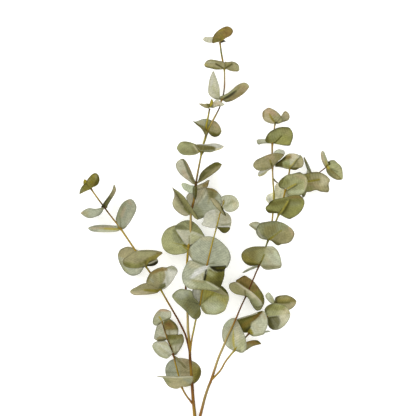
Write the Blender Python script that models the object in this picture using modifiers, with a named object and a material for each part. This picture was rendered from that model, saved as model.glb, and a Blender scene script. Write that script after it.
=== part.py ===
"""Eucalyptus branch, cut and laid down: nine leafy stems, each fused with its own leaves.

The branch lies on the surface z = 0. The drawing that the stems are laid out on is the view
straight down: its squares are counted to the right and downwards, and heights are above the
surface.
"""

import math
from dataclasses import dataclass

import bmesh
import bpy
from mathutils import Vector

MM = 0.001
SQUARE = 1.4 * MM
DRAWING_ORIGIN = (211.2, 248.3)

LEAF_THICKNESS = 0.7 * MM
PRESSED_HEIGHT = 0.25 * MM
LEAF_STEPS_ALONG = 6
LEAF_STEPS_ACROSS = 4
SMALL_LEAF_WIDTH = 36.0
SMALL_LEAF_STEPS_ACROSS = 2
NODE_SWELLING = 1.5
NODE_REACH = 3.0 * MM
JOINT_GAP = 0.3 * MM
WELD = 0.001 * MM
LEAF_ROOT_OFFSET = 0.6 * MM
FLAT_ANGLE = math.radians(0.2)
WAVE_TURNS = 7.0
WAVE_LEAF_PHASE = 2.4
WAVE_HALF_PHASE = 1.1

LEAF_GREY = (0.42, 0.46, 0.34)
LEAF_OLIVE = (0.30, 0.33, 0.14)


@dataclass(frozen=True)
class Leaf:
    """One leaf: angles in degrees, sizes in millimetres, its node in drawing squares.

    heading turns anticlockwise from the drawing's right, pitch is the midrib's rise at the
    base and bend its further turn to the tip. left and right tilt the two halves up from
    level, and curl turns each half further towards its rim. notch sets the base lobes back,
    point draws in the tip, and skew moves the widest place towards the tip.
    """

    node: tuple
    heading: float
    length: float
    width: float
    pitch: float = 0.0
    bend: float = 0.0
    left: float = 0.0
    right: float = 0.0
    curl: float = 0.0
    notch: float = 0.10
    point: float = 0.10
    wave: float = 0.6
    skew: float = 0.0


@dataclass(frozen=True)
class Shoot:
    """A stem with its leaves. A route point is x, y in squares, height and diameter in mm.

    A side shoot starts on the stem named as its parent, and is trimmed to stand just clear.
    """

    name: str
    route: tuple
    leaves: tuple
    colour: tuple
    parent: str = ""


MAIN_STEM = Shoot(
    name="main_stem",
    colour=LEAF_GREY,
    route=(
        (195.8, 470.0, 2.4, 5.2),
        (195.6, 452.0, 2.9, 4.8),
        (195.5, 434.0, 3.6, 4.9),
        (194.5, 416.0, 5.0, 4.5),
        (193.0, 400.0, 7.0, 4.3),
        (192.0, 385.0, 9.0, 4.1),
        (191.0, 371.0, 11.5, 3.8),
        (190.0, 358.0, 14.0, 3.7),
        (189.5, 345.0, 16.0, 3.5),
        (188.0, 330.0, 18.0, 3.3),
        (187.5, 314.0, 19.0, 3.0),
        (185.8, 290.0, 21.0, 2.7),
        (186.6, 268.0, 23.0, 2.5),
        (189.0, 246.0, 24.5, 2.4),
        (190.5, 231.0, 25.5, 2.3),
        (191.5, 213.0, 26.0, 2.2),
        (194.0, 200.0, 26.0, 2.1),
        (196.0, 184.0, 26.0, 2.0),
        (198.5, 170.0, 25.5, 1.9),
        (201.5, 152.0, 25.0, 1.9),
        (207.5, 131.0, 24.0, 1.9),
        (213.0, 120.0, 23.0, 1.8),
        (221.0, 100.0, 22.0, 1.7),
        (224.5, 90.0, 21.5, 1.6),
        (224.3, 69.0, 20.0, 1.5),
        (221.0, 52.0, 19.0, 1.4),
        (220.0, 42.0, 18.0, 1.4),
    ),
    leaves=(
        Leaf((189, 246), 163, 40, 42, pitch=-8, left=8, right=5, curl=12),
        Leaf((189, 246), 84, 37, 44, pitch=0, bend=0, left=0, right=12, curl=12),
        Leaf((191.5, 213), 123, 47, 42, pitch=8, bend=-10, left=48, right=66, curl=10, point=0.4),
        Leaf((191.5, 213), 38, 46, 44, pitch=-12, left=5, right=8, curl=10),
        Leaf((196, 184), 123, 42, 40, pitch=10, left=54, right=-76, curl=6, skew=0.15),
        Leaf((196, 184), 38, 46, 40, pitch=5, left=-56, right=84, curl=6),
        Leaf((196, 186), 190, 22, 18, pitch=-20, left=20, right=-10),
        Leaf((196, 186), 27, 21, 12, pitch=12, left=60, right=-55),
        Leaf((195, 190), 266, 26, 22, pitch=-10, left=76, right=-76),
        Leaf((201.5, 152), 170, 36, 36, pitch=5, left=-68, right=56, curl=6),
        Leaf((201.5, 152), 14, 33, 34, pitch=10, left=70, right=-78, curl=6),
        Leaf((207.5, 131), 142, 27, 26, pitch=8, left=84, right=-48, point=0.4),
        Leaf((207.5, 131), 8, 23, 26, pitch=-30, left=5, right=10, curl=8),
        Leaf((221, 100), 105, 43, 34, pitch=6, left=-44, right=80, curl=6, skew=-0.2, point=0.3),
        Leaf((221, 100), 29, 45, 34, pitch=4, bend=-6, left=67, right=-70, curl=4, skew=0.3),
        Leaf((224.3, 69), 166, 30, 24, pitch=8, left=62, right=-45, curl=6),
        Leaf((224.3, 69), 7, 22, 19, pitch=10, left=-40, right=48, curl=6),
        Leaf((220, 42), 48, 25, 27, pitch=12, left=0, right=55, curl=8, notch=0.25),
        Leaf((220, 42), 167, 25, 16, pitch=-8, left=-74, right=66),
        Leaf((220, 43), 20, 8, 5, pitch=30, left=20, right=20),
    ),
)

TALL_SIDE_SPRIG = Shoot(
    name="tall_side_sprig",
    colour=LEAF_OLIVE,
    parent="main_stem",
    route=(
        (207.2, 129.6, 27.4, 1.4),
        (206.2, 126.5, 30.0, 1.3),
        (208.0, 118.0, 32.0, 1.3),
        (210.0, 108.0, 34.0, 1.3),
    ),
    leaves=(
        Leaf((210, 108), 160, 17, 13, pitch=8, left=70, right=-70),
        Leaf((210, 108), 8, 21, 15, pitch=8, left=-60, right=60),
        Leaf((210, 108), 80, 13, 5, pitch=12, left=20, right=20),
    ),
)

LEFT_SHOOT = Shoot(
    name="left_shoot",
    colour=LEAF_GREY,
    parent="main_stem",
    route=(
        (189.8, 352.0, 16.0, 2.6),
        (186.5, 339.0, 15.0, 2.6),
        (184.0, 332.0, 15.0, 2.5),
        (176.0, 316.0, 15.0, 2.4),
        (167.0, 301.0, 17.0, 2.3),
        (160.5, 289.5, 18.5, 2.2),
        (151.0, 274.0, 20.0, 2.1),
        (145.5, 266.0, 20.5, 2.1),
        (135.0, 250.0, 20.0, 1.9),
        (120.5, 228.5, 19.0, 1.9),
        (105.0, 208.5, 17.0, 1.7),
        (96.0, 196.0, 15.5, 1.4),
        (90.5, 188.5, 15.0, 1.4),
    ),
    leaves=(
        Leaf((90.5, 188.5), 70, 23, 17, pitch=10, left=45, right=-40),
        Leaf((90.5, 188.5), 206, 18, 17, pitch=10, left=-76, right=36),
        Leaf((90.5, 188.5), 131, 14, 6, pitch=20, left=30, right=30),
        Leaf((104, 207), 198, 35, 28, pitch=0, left=46, right=-74, curl=6, skew=0.2),
        Leaf((104, 207), 64, 35, 28, pitch=0, left=85, right=-82, curl=6),
        Leaf((120.5, 228.5), 69, 45, 36, pitch=10, left=62, right=-54, curl=8, skew=0.2),
        Leaf((120.5, 228.5), 179, 47, 40, pitch=-4, left=76, right=-78, curl=6),
        Leaf((145.5, 266), 169, 46, 41, pitch=-41, bend=22, left=0, right=0, curl=4),
        Leaf((145.5, 266), 107, 42, 56, pitch=58, left=-5, right=5, curl=22),
        Leaf((160.5, 289.5), 80, 42, 46, pitch=38, left=15, right=22, curl=15, notch=0.0),
        Leaf((160.5, 289.5), 182, 43, 40, pitch=-5, left=66, right=-66, curl=10),
    ),
)

SHORT_MIDDLE_SHOOT = Shoot(
    name="short_middle_shoot",
    colour=LEAF_OLIVE,
    parent="main_stem",
    route=(
        (190.0, 352.0, 16.0, 2.3),
        (191.7, 340.0, 19.0, 2.3),
        (193.5, 331.0, 22.0, 2.2),
        (196.0, 319.0, 26.0, 2.1),
        (200.0, 304.0, 33.0, 2.1),
        (202.0, 292.0, 37.0, 2.0),
        (204.5, 280.0, 40.0, 1.9),
        (207.0, 265.0, 43.0, 1.9),
        (210.5, 250.0, 45.0, 1.8),
        (213.5, 238.0, 46.0, 1.7),
        (216.5, 227.0, 47.0, 1.7),
        (220.0, 213.0, 48.0, 1.4),
        (222.0, 207.0, 48.5, 1.4),
    ),
    leaves=(
        Leaf((222, 207), 15, 26, 26, pitch=5, left=10, right=12, curl=15),
        Leaf((222, 207), 150, 16, 24, pitch=10, left=75, right=-70),
        Leaf((222, 207), 88, 13, 6, pitch=10, left=20, right=20),
        Leaf((216.5, 227), 92, 40, 43, pitch=-36, bend=10, left=0, right=0, curl=6),
        Leaf((216.5, 227), 335, 21, 20, pitch=15, left=60, right=-60),
        Leaf((207, 265), 79, 42, 58, pitch=-4, left=4, right=0, curl=8),
        Leaf((207, 265), 258, 40, 62, pitch=50, left=8, right=0, curl=20),
        Leaf((204.5, 280), 246, 30, 54, pitch=64, left=0, right=0, curl=12),
        Leaf((200, 304), 165, 40, 48, pitch=-6, left=26, right=42, curl=8, notch=0.3, skew=-0.3),
        Leaf((200, 304), 12, 41, 43, pitch=-8, left=12, right=20, curl=12),
    ),
)

LOWER_LEFT_SHOOT = Shoot(
    name="lower_left_shoot",
    colour=LEAF_GREY,
    parent="main_stem",
    route=(
        (193.2, 405.5, 7.0, 2.4),
        (190.0, 401.5, 9.0, 2.4),
        (186.0, 396.0, 12.5, 2.3),
        (181.5, 387.0, 16.0, 2.3),
        (178.6, 376.0, 18.0, 2.1),
        (176.0, 366.0, 19.0, 2.0),
        (173.0, 354.0, 20.0, 1.9),
        (167.5, 339.0, 20.0, 1.8),
        (163.5, 327.0, 20.0, 1.4),
        (161.8, 321.0, 20.0, 1.4),
    ),
    leaves=(
        Leaf((161.8, 321), 128, 24, 31, pitch=42, left=5, right=5, curl=12),
        Leaf((167.5, 339), 100, 33, 34, pitch=-28, left=10, right=10, curl=10),
        Leaf((167.5, 339), 172, 22, 26, pitch=10, left=50, right=-58, curl=8),
        Leaf((173, 354), 157, 34, 32, pitch=-4, left=-50, right=54, curl=8),
        Leaf((173, 354), 74, 31, 34, pitch=14, left=38, right=-56, curl=8, skew=0.2),
        Leaf((174, 356), 315, 25, 24, pitch=0, left=82, right=-82),
        Leaf((181.5, 387), 84, 42, 56, pitch=-46, bend=28, left=-26, right=-38, curl=4, notch=0.0),
        Leaf((181.5, 387), 91, 38, 50, pitch=62, left=-4, right=-4, curl=8, notch=0.0),
    ),
)

RIGHT_STEM = Shoot(
    name="right_stem",
    colour=LEAF_GREY,
    parent="main_stem",
    route=(
        (195.6, 434.0, 3.6, 3.8),
        (200.5, 416.0, 5.0, 3.8),
        (204.5, 400.0, 7.5, 3.6),
        (208.0, 389.0, 9.5, 3.5),
        (211.5, 380.0, 11.0, 3.4),
        (218.0, 360.0, 13.0, 3.0),
        (223.0, 348.0, 14.0, 3.0),
        (228.0, 336.0, 15.0, 2.8),
        (236.0, 319.0, 17.5, 2.6),
        (246.0, 296.0, 21.0, 2.5),
        (253.0, 279.0, 23.0, 2.3),
        (259.5, 264.5, 25.0, 2.3),
        (264.0, 252.0, 26.5, 2.2),
        (268.0, 240.0, 28.0, 2.1),
        (273.0, 228.0, 30.0, 1.9),
        (278.5, 214.0, 32.0, 1.9),
        (282.0, 201.0, 33.0, 1.8),
        (285.3, 189.0, 33.5, 1.8),
        (288.0, 177.0, 33.5, 1.5),
        (289.5, 168.0, 33.0, 1.4),
    ),
    leaves=(
        Leaf((246, 296), 56, 40, 60, pitch=60, left=5, right=0, curl=18),
        Leaf((246, 296), 32, 36, 46, pitch=-48, bend=22, left=0, right=0, curl=6, notch=0.3),
        Leaf((259.5, 264.5), 67, 40, 60, pitch=46, left=0, right=5, curl=20),
        Leaf((259.5, 264.5), 207, 28, 28, pitch=-5, left=86, right=-84),
        Leaf((268, 240), 46, 38, 46, pitch=28, left=0, right=16, curl=12, notch=0.2),
        Leaf((268, 240), 141, 36, 24, pitch=-12, left=56, right=-50, curl=4),
        Leaf((278.5, 214), 70, 37, 56, pitch=48, left=4, right=8, curl=12),
        Leaf((285.3, 189), 30, 36, 41, pitch=25, left=10, right=10, curl=15, notch=0.2),
        Leaf((285.3, 189), 201, 38, 32, pitch=-46, left=0, right=0, curl=6),
        Leaf((289.5, 168), 48, 22, 28, pitch=15, left=20, right=15, curl=12),
        Leaf((289.5, 168), 166, 23, 20, pitch=10, left=66, right=10, curl=8),
    ),
)

RIGHT_TOP_SHOOT = Shoot(
    name="right_top_shoot",
    colour=LEAF_OLIVE,
    parent="right_stem",
    route=(
        (269.0, 237.0, 28.8, 1.6),
        (271.0, 228.0, 27.0, 1.6),
        (272.5, 216.0, 26.0, 1.5),
        (273.5, 200.0, 26.0, 1.5),
        (273.0, 180.0, 25.0, 1.5),
        (272.5, 168.0, 23.0, 1.6),
        (272.0, 153.0, 21.0, 1.4),
        (272.5, 143.5, 20.0, 1.5),
        (274.0, 130.0, 19.0, 1.2),
        (275.3, 123.0, 18.5, 1.2),
    ),
    leaves=(
        Leaf((272.5, 168), 117, 34, 46, pitch=-52, left=0, right=0, curl=8),
        Leaf((272.5, 168), 62, 33, 30, pitch=-32, left=10, right=0, curl=6),
        Leaf((272.5, 168), 215, 20, 16, pitch=-30, left=0, right=0),
        Leaf((272.5, 143.5), 42, 33, 30, pitch=14, left=4, right=20, curl=10, notch=0.15),
        Leaf((272.5, 143.5), 168, 22, 20, pitch=-10, left=-74, right=62),
        Leaf((275.3, 123), 125, 24, 24, pitch=10, left=25, right=20, curl=15),
        Leaf((275.3, 123), 31, 24, 18, pitch=5, left=46, right=-52, curl=6, skew=0.2),
    ),
)

FAR_RIGHT_SHOOT = Shoot(
    name="far_right_shoot",
    colour=LEAF_OLIVE,
    parent="right_top_shoot",
    route=(
        (273.0, 179.0, 25.0, 1.4),
        (278.0, 183.0, 21.0, 1.4),
        (290.0, 186.0, 17.0, 1.4),
        (305.0, 182.0, 16.0, 1.7),
        (314.0, 177.0, 16.5, 1.4),
        (320.0, 172.0, 17.0, 1.3),
        (327.5, 165.5, 18.0, 1.4),
    ),
    leaves=(
        Leaf((305, 182), 2, 35, 30, pitch=-20, bend=15, left=15, right=5, curl=10),
        Leaf((313.5, 177.5), 114, 31, 24, pitch=-5, left=84, right=-80, curl=4),
        Leaf((327.5, 165.5), 109, 21, 18, pitch=8, left=-54, right=62),
        Leaf((327.5, 165.5), 322, 26, 26, pitch=5, left=20, right=20, curl=12),
        Leaf((327.5, 165.5), 70, 8, 5, pitch=20, left=20, right=20),
    ),
)

RIGHT_LOWER_SHOOT = Shoot(
    name="right_lower_shoot",
    colour=LEAF_GREY,
    parent="right_stem",
    route=(
        (211.6, 380.0, 11.0, 2.3),
        (216.0, 376.0, 13.0, 2.3),
        (221.0, 370.0, 16.0, 2.3),
        (226.0, 361.0, 20.0, 2.1),
        (235.0, 349.5, 26.0, 2.2),
        (249.0, 333.0, 30.0, 2.0),
        (267.0, 316.0, 31.0, 1.8),
        (274.0, 303.0, 31.0, 1.4),
    ),
    leaves=(
        Leaf((235, 349.5), 90, 43, 44, pitch=6, left=20, right=38, curl=15),
        Leaf((235, 349.5), 13, 38, 34, pitch=-8, left=74, right=-72, curl=6),
        Leaf((249, 333), 60, 38, 46, pitch=15, left=15, right=32, curl=12),
        Leaf((249, 333), 357, 30, 28, pitch=-5, left=84, right=-84),
        Leaf((267, 316), 5, 34, 38, pitch=20, left=15, right=15, curl=15),
        Leaf((274, 303), 5, 31, 26, pitch=5, left=35, right=-38, curl=8),
        Leaf((274, 303), 125, 17, 12, pitch=10, left=50, right=-45),
    ),
)

SHOOTS = (
    MAIN_STEM,
    TALL_SIDE_SPRIG,
    LEFT_SHOOT,
    SHORT_MIDDLE_SHOOT,
    LOWER_LEFT_SHOOT,
    RIGHT_STEM,
    RIGHT_TOP_SHOOT,
    FAR_RIGHT_SHOOT,
    RIGHT_LOWER_SHOOT,
)


def clear_scene():
    """Remove what a new file starts with."""
    for old in list(bpy.data.objects):
        bpy.data.objects.remove(old, do_unlink=True)


def placed(x, y, height):
    """World place of a drawing position at a height in millimetres."""
    return Vector((
        (x - DRAWING_ORIGIN[0]) * SQUARE,
        (DRAWING_ORIGIN[1] - y) * SQUARE,
        height * MM,
    ))


def between(before, start, end, after, t):
    """Point of the smooth curve that passes through start and end (Catmull-Rom)."""
    return tuple(
        0.5 * (
            2 * b
            + (c - a) * t
            + (2 * a - 5 * b + 4 * c - d) * t ** 2
            + (3 * b - 3 * c + d - a) * t ** 3
        )
        for a, b, c, d in zip(before, start, end, after)
    )


def near(point, node):
    """Whether a route point is at a leaf node, in drawing squares."""
    return math.dist(point[:2], node) < 3.0


def sampled(shoot):
    """Places and radii along a stem, with each node swollen over a short reach."""
    route = shoot.route
    is_node = [any(near(p, leaf.node) for leaf in shoot.leaves) for p in route]
    samples = []
    for i, (start, end) in enumerate(zip(route, route[1:])):
        before = route[max(i - 1, 0)]
        after = route[min(i + 2, len(route) - 1)]
        span = (placed(*end[:3]) - placed(*start[:3])).length
        reach = min(NODE_REACH / span, 0.4)
        steps = [0.0]
        if is_node[i]:
            steps.append(reach)
        if is_node[i + 1]:
            steps.append(1.0 - reach)
        for t in steps:
            x, y, height, diameter = between(before, start, end, after, t)
            swelling = NODE_SWELLING if t == 0.0 and is_node[i] else 1.0
            samples.append((placed(x, y, height), 0.5 * diameter * MM * swelling))
    x, y, height, diameter = route[-1]
    samples.append((placed(x, y, height), 0.5 * diameter * MM * NODE_SWELLING))
    return samples


def distance_to(samples, place):
    """Distance from a place to the surface of a sampled stem."""
    nearest = math.inf
    for (start, r0), (end, r1) in zip(samples, samples[1:]):
        step = end - start
        t = min(max((place - start).dot(step) / step.length_squared, 0.0), 1.0)
        gap = (start + step * t - place).length - (r0 + (r1 - r0) * t)
        nearest = min(nearest, gap)
    return nearest


def trimmed(samples, parent):
    """Start a side shoot just clear of the stem that it grows from."""
    first = 0
    while distance_to(parent, samples[first][0]) < samples[first][1] + JOINT_GAP:
        first += 1
    inner, outer = samples[first - 1], samples[first]
    low, high = 0.0, 1.0
    for _ in range(20):
        t = 0.5 * (low + high)
        place = inner[0].lerp(outer[0], t)
        radius = inner[1] + (outer[1] - inner[1]) * t
        if distance_to(parent, place) < radius + JOINT_GAP:
            low = t
        else:
            high = t
    start = (inner[0].lerp(outer[0], high), inner[1] + (outer[1] - inner[1]) * high)
    return [start] + samples[first:]


def stem_mesh(name, samples):
    """A capped tube along the samples, as a mesh object."""
    curve = bpy.data.curves.new(name + "_route", "CURVE")
    curve.dimensions = "3D"
    curve.bevel_depth = MM
    curve.bevel_resolution = 2
    curve.use_fill_caps = True
    spline = curve.splines.new("POLY")
    spline.points.add(len(samples) - 1)
    for point, (place, radius) in zip(spline.points, samples):
        point.co = (*place, 1.0)
        point.radius = radius / MM
    route = bpy.data.objects.new(name + "_route", curve)
    bpy.context.scene.collection.objects.link(route)
    depsgraph = bpy.context.evaluated_depsgraph_get()
    mesh = bpy.data.meshes.new_from_object(route.evaluated_get(depsgraph))
    bpy.data.objects.remove(route, do_unlink=True)
    bm = bmesh.new()
    bm.from_mesh(mesh)
    bmesh.ops.remove_doubles(bm, verts=bm.verts, dist=WELD)
    bmesh.ops.triangulate(bm, faces=bm.faces)
    bmesh.ops.recalc_face_normals(bm, faces=bm.faces)
    bm.to_mesh(mesh)
    bm.free()
    mesh.name = name
    return bpy.data.objects.new(name, mesh)


def arc(distance, start, turn):
    """Run and rise over a distance that sets off at an angle and turns evenly."""
    a, b = math.radians(start), math.radians(start + turn)
    if abs(b - a) < 1e-4:
        return distance * math.cos(a), distance * math.sin(a)
    radius = distance / (b - a)
    return radius * (math.sin(b) - math.sin(a)), radius * (math.cos(a) - math.cos(b))


def leaf_place(leaf, base, index, along, across):
    """Place on a leaf: along runs 0 to 1 from base to tip, across -1 to 1 from right to left."""
    outline = 2.0 * math.sqrt(along * (1.0 - along))
    outline *= 1.0 - leaf.point * along ** 3 + leaf.skew * (2.0 * along - 1.0)
    out = 0.5 * leaf.width * outline * abs(across)
    tilt = leaf.left if across > 0 else leaf.right
    share = out / (0.5 * leaf.width)
    side, rise = arc(out, tilt, leaf.curl * share)
    phase = WAVE_LEAF_PHASE * index + (WAVE_HALF_PHASE if across > 0 else 0.0)
    rise += leaf.wave * across ** 2 * share * math.sin(WAVE_TURNS * along + phase)
    back = leaf.notch * across ** 2 * (1.0 - along) ** 3
    run = leaf.length * (along - back)
    forward, lift = arc(run, leaf.pitch, leaf.bend * along)
    slope = math.radians(leaf.pitch + leaf.bend * along)
    heading = math.radians(leaf.heading)
    ahead = Vector((math.cos(heading), math.sin(heading), 0.0))
    leftward = Vector((-math.sin(heading), math.cos(heading), 0.0))
    place = ahead * (forward - rise * math.sin(slope)) + leftward * math.copysign(side, across)
    place.z = lift + rise * math.cos(slope)
    place = base + place * MM
    place.z = max(place.z, PRESSED_HEIGHT)
    return place


def leaf_object(shoot, leaf, index):
    """A thin leaf whose midrib lies on an edge line, so that its halves can fold."""
    point = min(shoot.route, key=lambda p: math.dist(p[:2], leaf.node))
    heading, pitch = math.radians(leaf.heading), math.radians(leaf.pitch)
    outwards = Vector((
        math.cos(heading) * math.cos(pitch),
        math.sin(heading) * math.cos(pitch),
        math.sin(pitch),
    ))
    base = placed(*leaf.node, point[2]) + outwards * LEAF_ROOT_OFFSET
    steps_across = SMALL_LEAF_STEPS_ACROSS if leaf.width < SMALL_LEAF_WIDTH else LEAF_STEPS_ACROSS
    bm = bmesh.new()
    bmesh.ops.create_grid(bm, x_segments=LEAF_STEPS_ALONG, y_segments=steps_across, size=1.0)
    for vertex in bm.verts:
        along = 0.5 * (1.0 - math.cos(0.5 * math.pi * (vertex.co.x + 1.0)))
        along = min(max(along, 0.0), 1.0)
        vertex.co = leaf_place(leaf, base, index, along, vertex.co.y)
    bmesh.ops.remove_doubles(bm, verts=bm.verts, dist=WELD)
    bmesh.ops.triangulate(bm, faces=bm.faces)
    mesh = bpy.data.meshes.new(f"{shoot.name}_leaf_{index}")
    bm.to_mesh(mesh)
    bm.free()
    obj = bpy.data.objects.new(mesh.name, mesh)
    solid = obj.modifiers.new("Thickness", "SOLIDIFY")
    solid.thickness = LEAF_THICKNESS
    solid.offset = 0.0
    return obj


def material(name, colour):
    """A plain surface in one colour."""
    surface = bpy.data.materials.new(name)
    surface.use_nodes = True
    shader = surface.node_tree.nodes["Principled BSDF"]
    shader.inputs["Base Color"].default_value = (*colour, 1.0)
    shader.inputs["Roughness"].default_value = 0.6
    shader.inputs["Metallic"].default_value = 0.0
    return surface


def fused(stem, leaves, name):
    """Join the leaves to their stem in one union, flat where they meet the surface."""
    blades = bpy.data.collections.new(name + "_blades")
    bpy.context.scene.collection.children.link(blades)
    for leaf in leaves:
        blades.objects.link(leaf)
    union = stem.modifiers.new("Leaves", "BOOLEAN")
    union.operation = "UNION"
    union.operand_type = "COLLECTION"
    union.collection = blades
    union.solver = "EXACT"
    depsgraph = bpy.context.evaluated_depsgraph_get()
    mesh = bpy.data.meshes.new_from_object(stem.evaluated_get(depsgraph))
    stem.modifiers.clear()
    bm = bmesh.new()
    bm.from_mesh(mesh)
    for vertex in bm.verts:
        vertex.co.z = max(vertex.co.z, 0.0)
    bmesh.ops.dissolve_limit(bm, angle_limit=FLAT_ANGLE, verts=bm.verts, edges=bm.edges)
    bmesh.ops.triangulate(bm, faces=bm.faces)
    bm.to_mesh(mesh)
    bm.free()
    stem.data = mesh
    mesh.name = name
    for leaf in leaves:
        bpy.data.objects.remove(leaf, do_unlink=True)
    bpy.data.collections.remove(blades)


def build():
    """Build every leafy stem in one collection."""
    clear_scene()
    branch = bpy.data.collections.new("eucalyptus_branch")
    bpy.context.scene.collection.children.link(branch)
    routes = {}
    for shoot in SHOOTS:
        samples = sampled(shoot)
        if shoot.parent:
            samples = trimmed(samples, routes[shoot.parent])
        routes[shoot.name] = samples
        stem = stem_mesh(shoot.name, samples)
        branch.objects.link(stem)
        leaves = [leaf_object(shoot, leaf, i) for i, leaf in enumerate(shoot.leaves)]
        fused(stem, leaves, shoot.name)
        stem.data.materials.clear()
        stem.data.materials.append(material(shoot.name + "_surface", shoot.colour))
        stem.data.shade_flat()


build()
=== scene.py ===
"""Eucalyptus branch, cut and laid down, seen from straight above.

Every stem and leaf is laid out in the squares of one drawing: the view straight down, with its
squares counted to the right and downwards. Heights and sizes are real, in millimetres.
"""

import bisect
import logging
import math
from dataclasses import dataclass
from enum import Enum
from functools import lru_cache

import bmesh
import bpy
from mathutils import Matrix, Vector, noise

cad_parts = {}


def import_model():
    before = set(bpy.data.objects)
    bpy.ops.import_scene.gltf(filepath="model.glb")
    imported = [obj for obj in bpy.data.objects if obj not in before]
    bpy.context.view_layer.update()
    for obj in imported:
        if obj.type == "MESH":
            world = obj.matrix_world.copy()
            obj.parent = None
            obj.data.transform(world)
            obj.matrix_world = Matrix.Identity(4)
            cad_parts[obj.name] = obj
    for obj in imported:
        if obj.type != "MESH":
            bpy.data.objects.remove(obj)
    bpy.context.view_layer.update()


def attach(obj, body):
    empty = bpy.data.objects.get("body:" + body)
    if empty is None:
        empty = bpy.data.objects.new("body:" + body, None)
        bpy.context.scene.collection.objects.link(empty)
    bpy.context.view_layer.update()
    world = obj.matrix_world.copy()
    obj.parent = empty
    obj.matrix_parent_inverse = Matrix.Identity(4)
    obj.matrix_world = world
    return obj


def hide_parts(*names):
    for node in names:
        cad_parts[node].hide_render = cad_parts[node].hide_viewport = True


LOG = logging.getLogger("eucalyptus_branch")

MM = 0.001
SQUARE = 1.4 * MM
DRAWING_ORIGIN = (211.2, 248.3)
DRAWING_MIDDLE = (208.0, 208.0)
DRAWING_SIDE = 416 * SQUARE

LEAF_THICKNESS = 0.7 * MM
RIM_THICKNESS_SHARE = 0.6
PRESSED_HEIGHT = 0.38
LEAF_STEPS_ALONG = 44
LEAF_STEPS_ACROSS = 36
LINE_STEPS = 8
RIM_SHADE_WIDTH = 2.4
BUD_LENGTH = 15.0
BUD_STEPS = 8
LEAF_ROOT_OFFSET = 0.6
RIB_STEP_SHARE = 0.55
WAVE_TURNS = 7.0
WAVE_LEAF_PHASE = 2.4
WAVE_HALF_PHASE = 1.1
PUCKER_HEIGHT = 0.45
PUCKER_WIDTH = 11.0
PUCKER_LEAF_SHIFT = 7.3
WELD = 0.001 * MM
RIM_EDGE_ANGLE = math.radians(50)

STEM_SIDES = 14
STEM_STEP = 2.5 * MM
BARK_DEPTH = 0.3
SHADY_SIDE = 0.55
NODE_SWELLING = 0.55
NODE_REACH = 2.2 * MM
FORK_SWELLING = 0.35
FORK_REACH = 7.0 * MM


class Tone(Enum):
    """Colours that the leaves pass through, as sRGB hex. The shadow grey is painted shadow and the glint a
    painted highlight. The two darkest, moss and ink, paint deep shade in folds and gaps as well as dark
    leaf and node colour.
    """

    BLOOM = "#BBBAAB"
    PALE = "#AAAB91"
    GREY = "#989B84"
    SAGE = "#858763"
    OLIVE = "#746E41"
    DARK_OLIVE = "#605D2D"
    MOSS = "#434010"
    LIME = "#98996D"
    GREEN = "#7C7C47"
    BRONZE = "#7C6A39"
    TAUPE = "#8C865F"
    ROSE = "#AB9475"
    BEIGE = "#A59C7A"
    YELLOW = "#A19437"
    STEM_OLIVE = "#7D7420"
    # painted shadow: the grey-green that a blade takes where it lies in shade
    SHADOW_GREY = "#7E826C"
    FERN = "#676745"
    FRESH = "#8A894A"
    # near black: painted deep shade in gaps under leaves and in folds, and dark spots at the nodes
    INK = "#22200A"
    # painted highlight: the near-white band where a curled blade or its edge catches the light
    GLINT = "#C2C2BC"
    MINT = "#B3BA9D"
    STONE = "#B0AE96"
    KHAKI = "#928C66"
    RUSSET = "#6A4E28"
    MUSTARD = "#756F33"
    MEADOW = "#7B875A"
    CREAM = "#B8B192"
    UMBER = "#6C5A22"
    CHAFF = "#CDC79F"
    IVORY = "#DAD8B6"


class Bark(Enum):
    """Colours that the stems pass through, as sRGB hex."""

    GOLD = "#A0862D"
    OCHRE = "#907127"
    TAN = "#8E7845"
    BROWN = "#623A14"
    DARK = "#4A3310"
    RUST = "#835A23"
    STRAW = "#93872C"
    HONEY = "#A6935B"
    REED = "#686A2C"


BLOOM, PALE, GREY, SAGE = Tone.BLOOM, Tone.PALE, Tone.GREY, Tone.SAGE
OLIVE, DARK_OLIVE, MOSS, LIME = Tone.OLIVE, Tone.DARK_OLIVE, Tone.MOSS, Tone.LIME
GREEN, BRONZE, TAUPE, ROSE = Tone.GREEN, Tone.BRONZE, Tone.TAUPE, Tone.ROSE
BEIGE, YELLOW, SHADOW_GREY, FERN = Tone.BEIGE, Tone.YELLOW, Tone.SHADOW_GREY, Tone.FERN
FRESH, INK, GLINT, MINT = Tone.FRESH, Tone.INK, Tone.GLINT, Tone.MINT
STONE, KHAKI, RUSSET, STEM_OLIVE = Tone.STONE, Tone.KHAKI, Tone.RUSSET, Tone.STEM_OLIVE
MUSTARD, MEADOW, CREAM = Tone.MUSTARD, Tone.MEADOW, Tone.CREAM
UMBER, CHAFF, IVORY = Tone.UMBER, Tone.CHAFF, Tone.IVORY
HONEY, REED = Bark.HONEY, Bark.REED
GOLD, OCHRE, TAN, BROWN = Bark.GOLD, Bark.OCHRE, Bark.TAN, Bark.BROWN
DARK, RUST, STRAW = Bark.DARK, Bark.RUST, Bark.STRAW


def linear(code: str) -> tuple[float, float, float]:
    """Turns an sRGB hex code to linear red, green and blue.

    Args:
        code: The colour as #RRGGBB.

    Returns:
        The linear channels.
    """
    channels = (int(code[i:i + 2], 16) / 255 for i in (1, 3, 5))
    return tuple(c / 12.92 if c <= 0.04045 else ((c + 0.055) / 1.055) ** 2.4 for c in channels)


def mixed(
    first: tuple[float, ...], second: tuple[float, ...], share: float
) -> tuple[float, ...]:
    """Blends two colours by the share of the second."""
    return tuple(a + (b - a) * share for a, b in zip(first, second))


def eased(low: float, high: float, value: float) -> float:
    """Rises smoothly from 0 at low to 1 at high."""
    t = min(max((value - low) / (high - low), 0.0), 1.0)
    return t * t * (3.0 - 2.0 * t)


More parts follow.
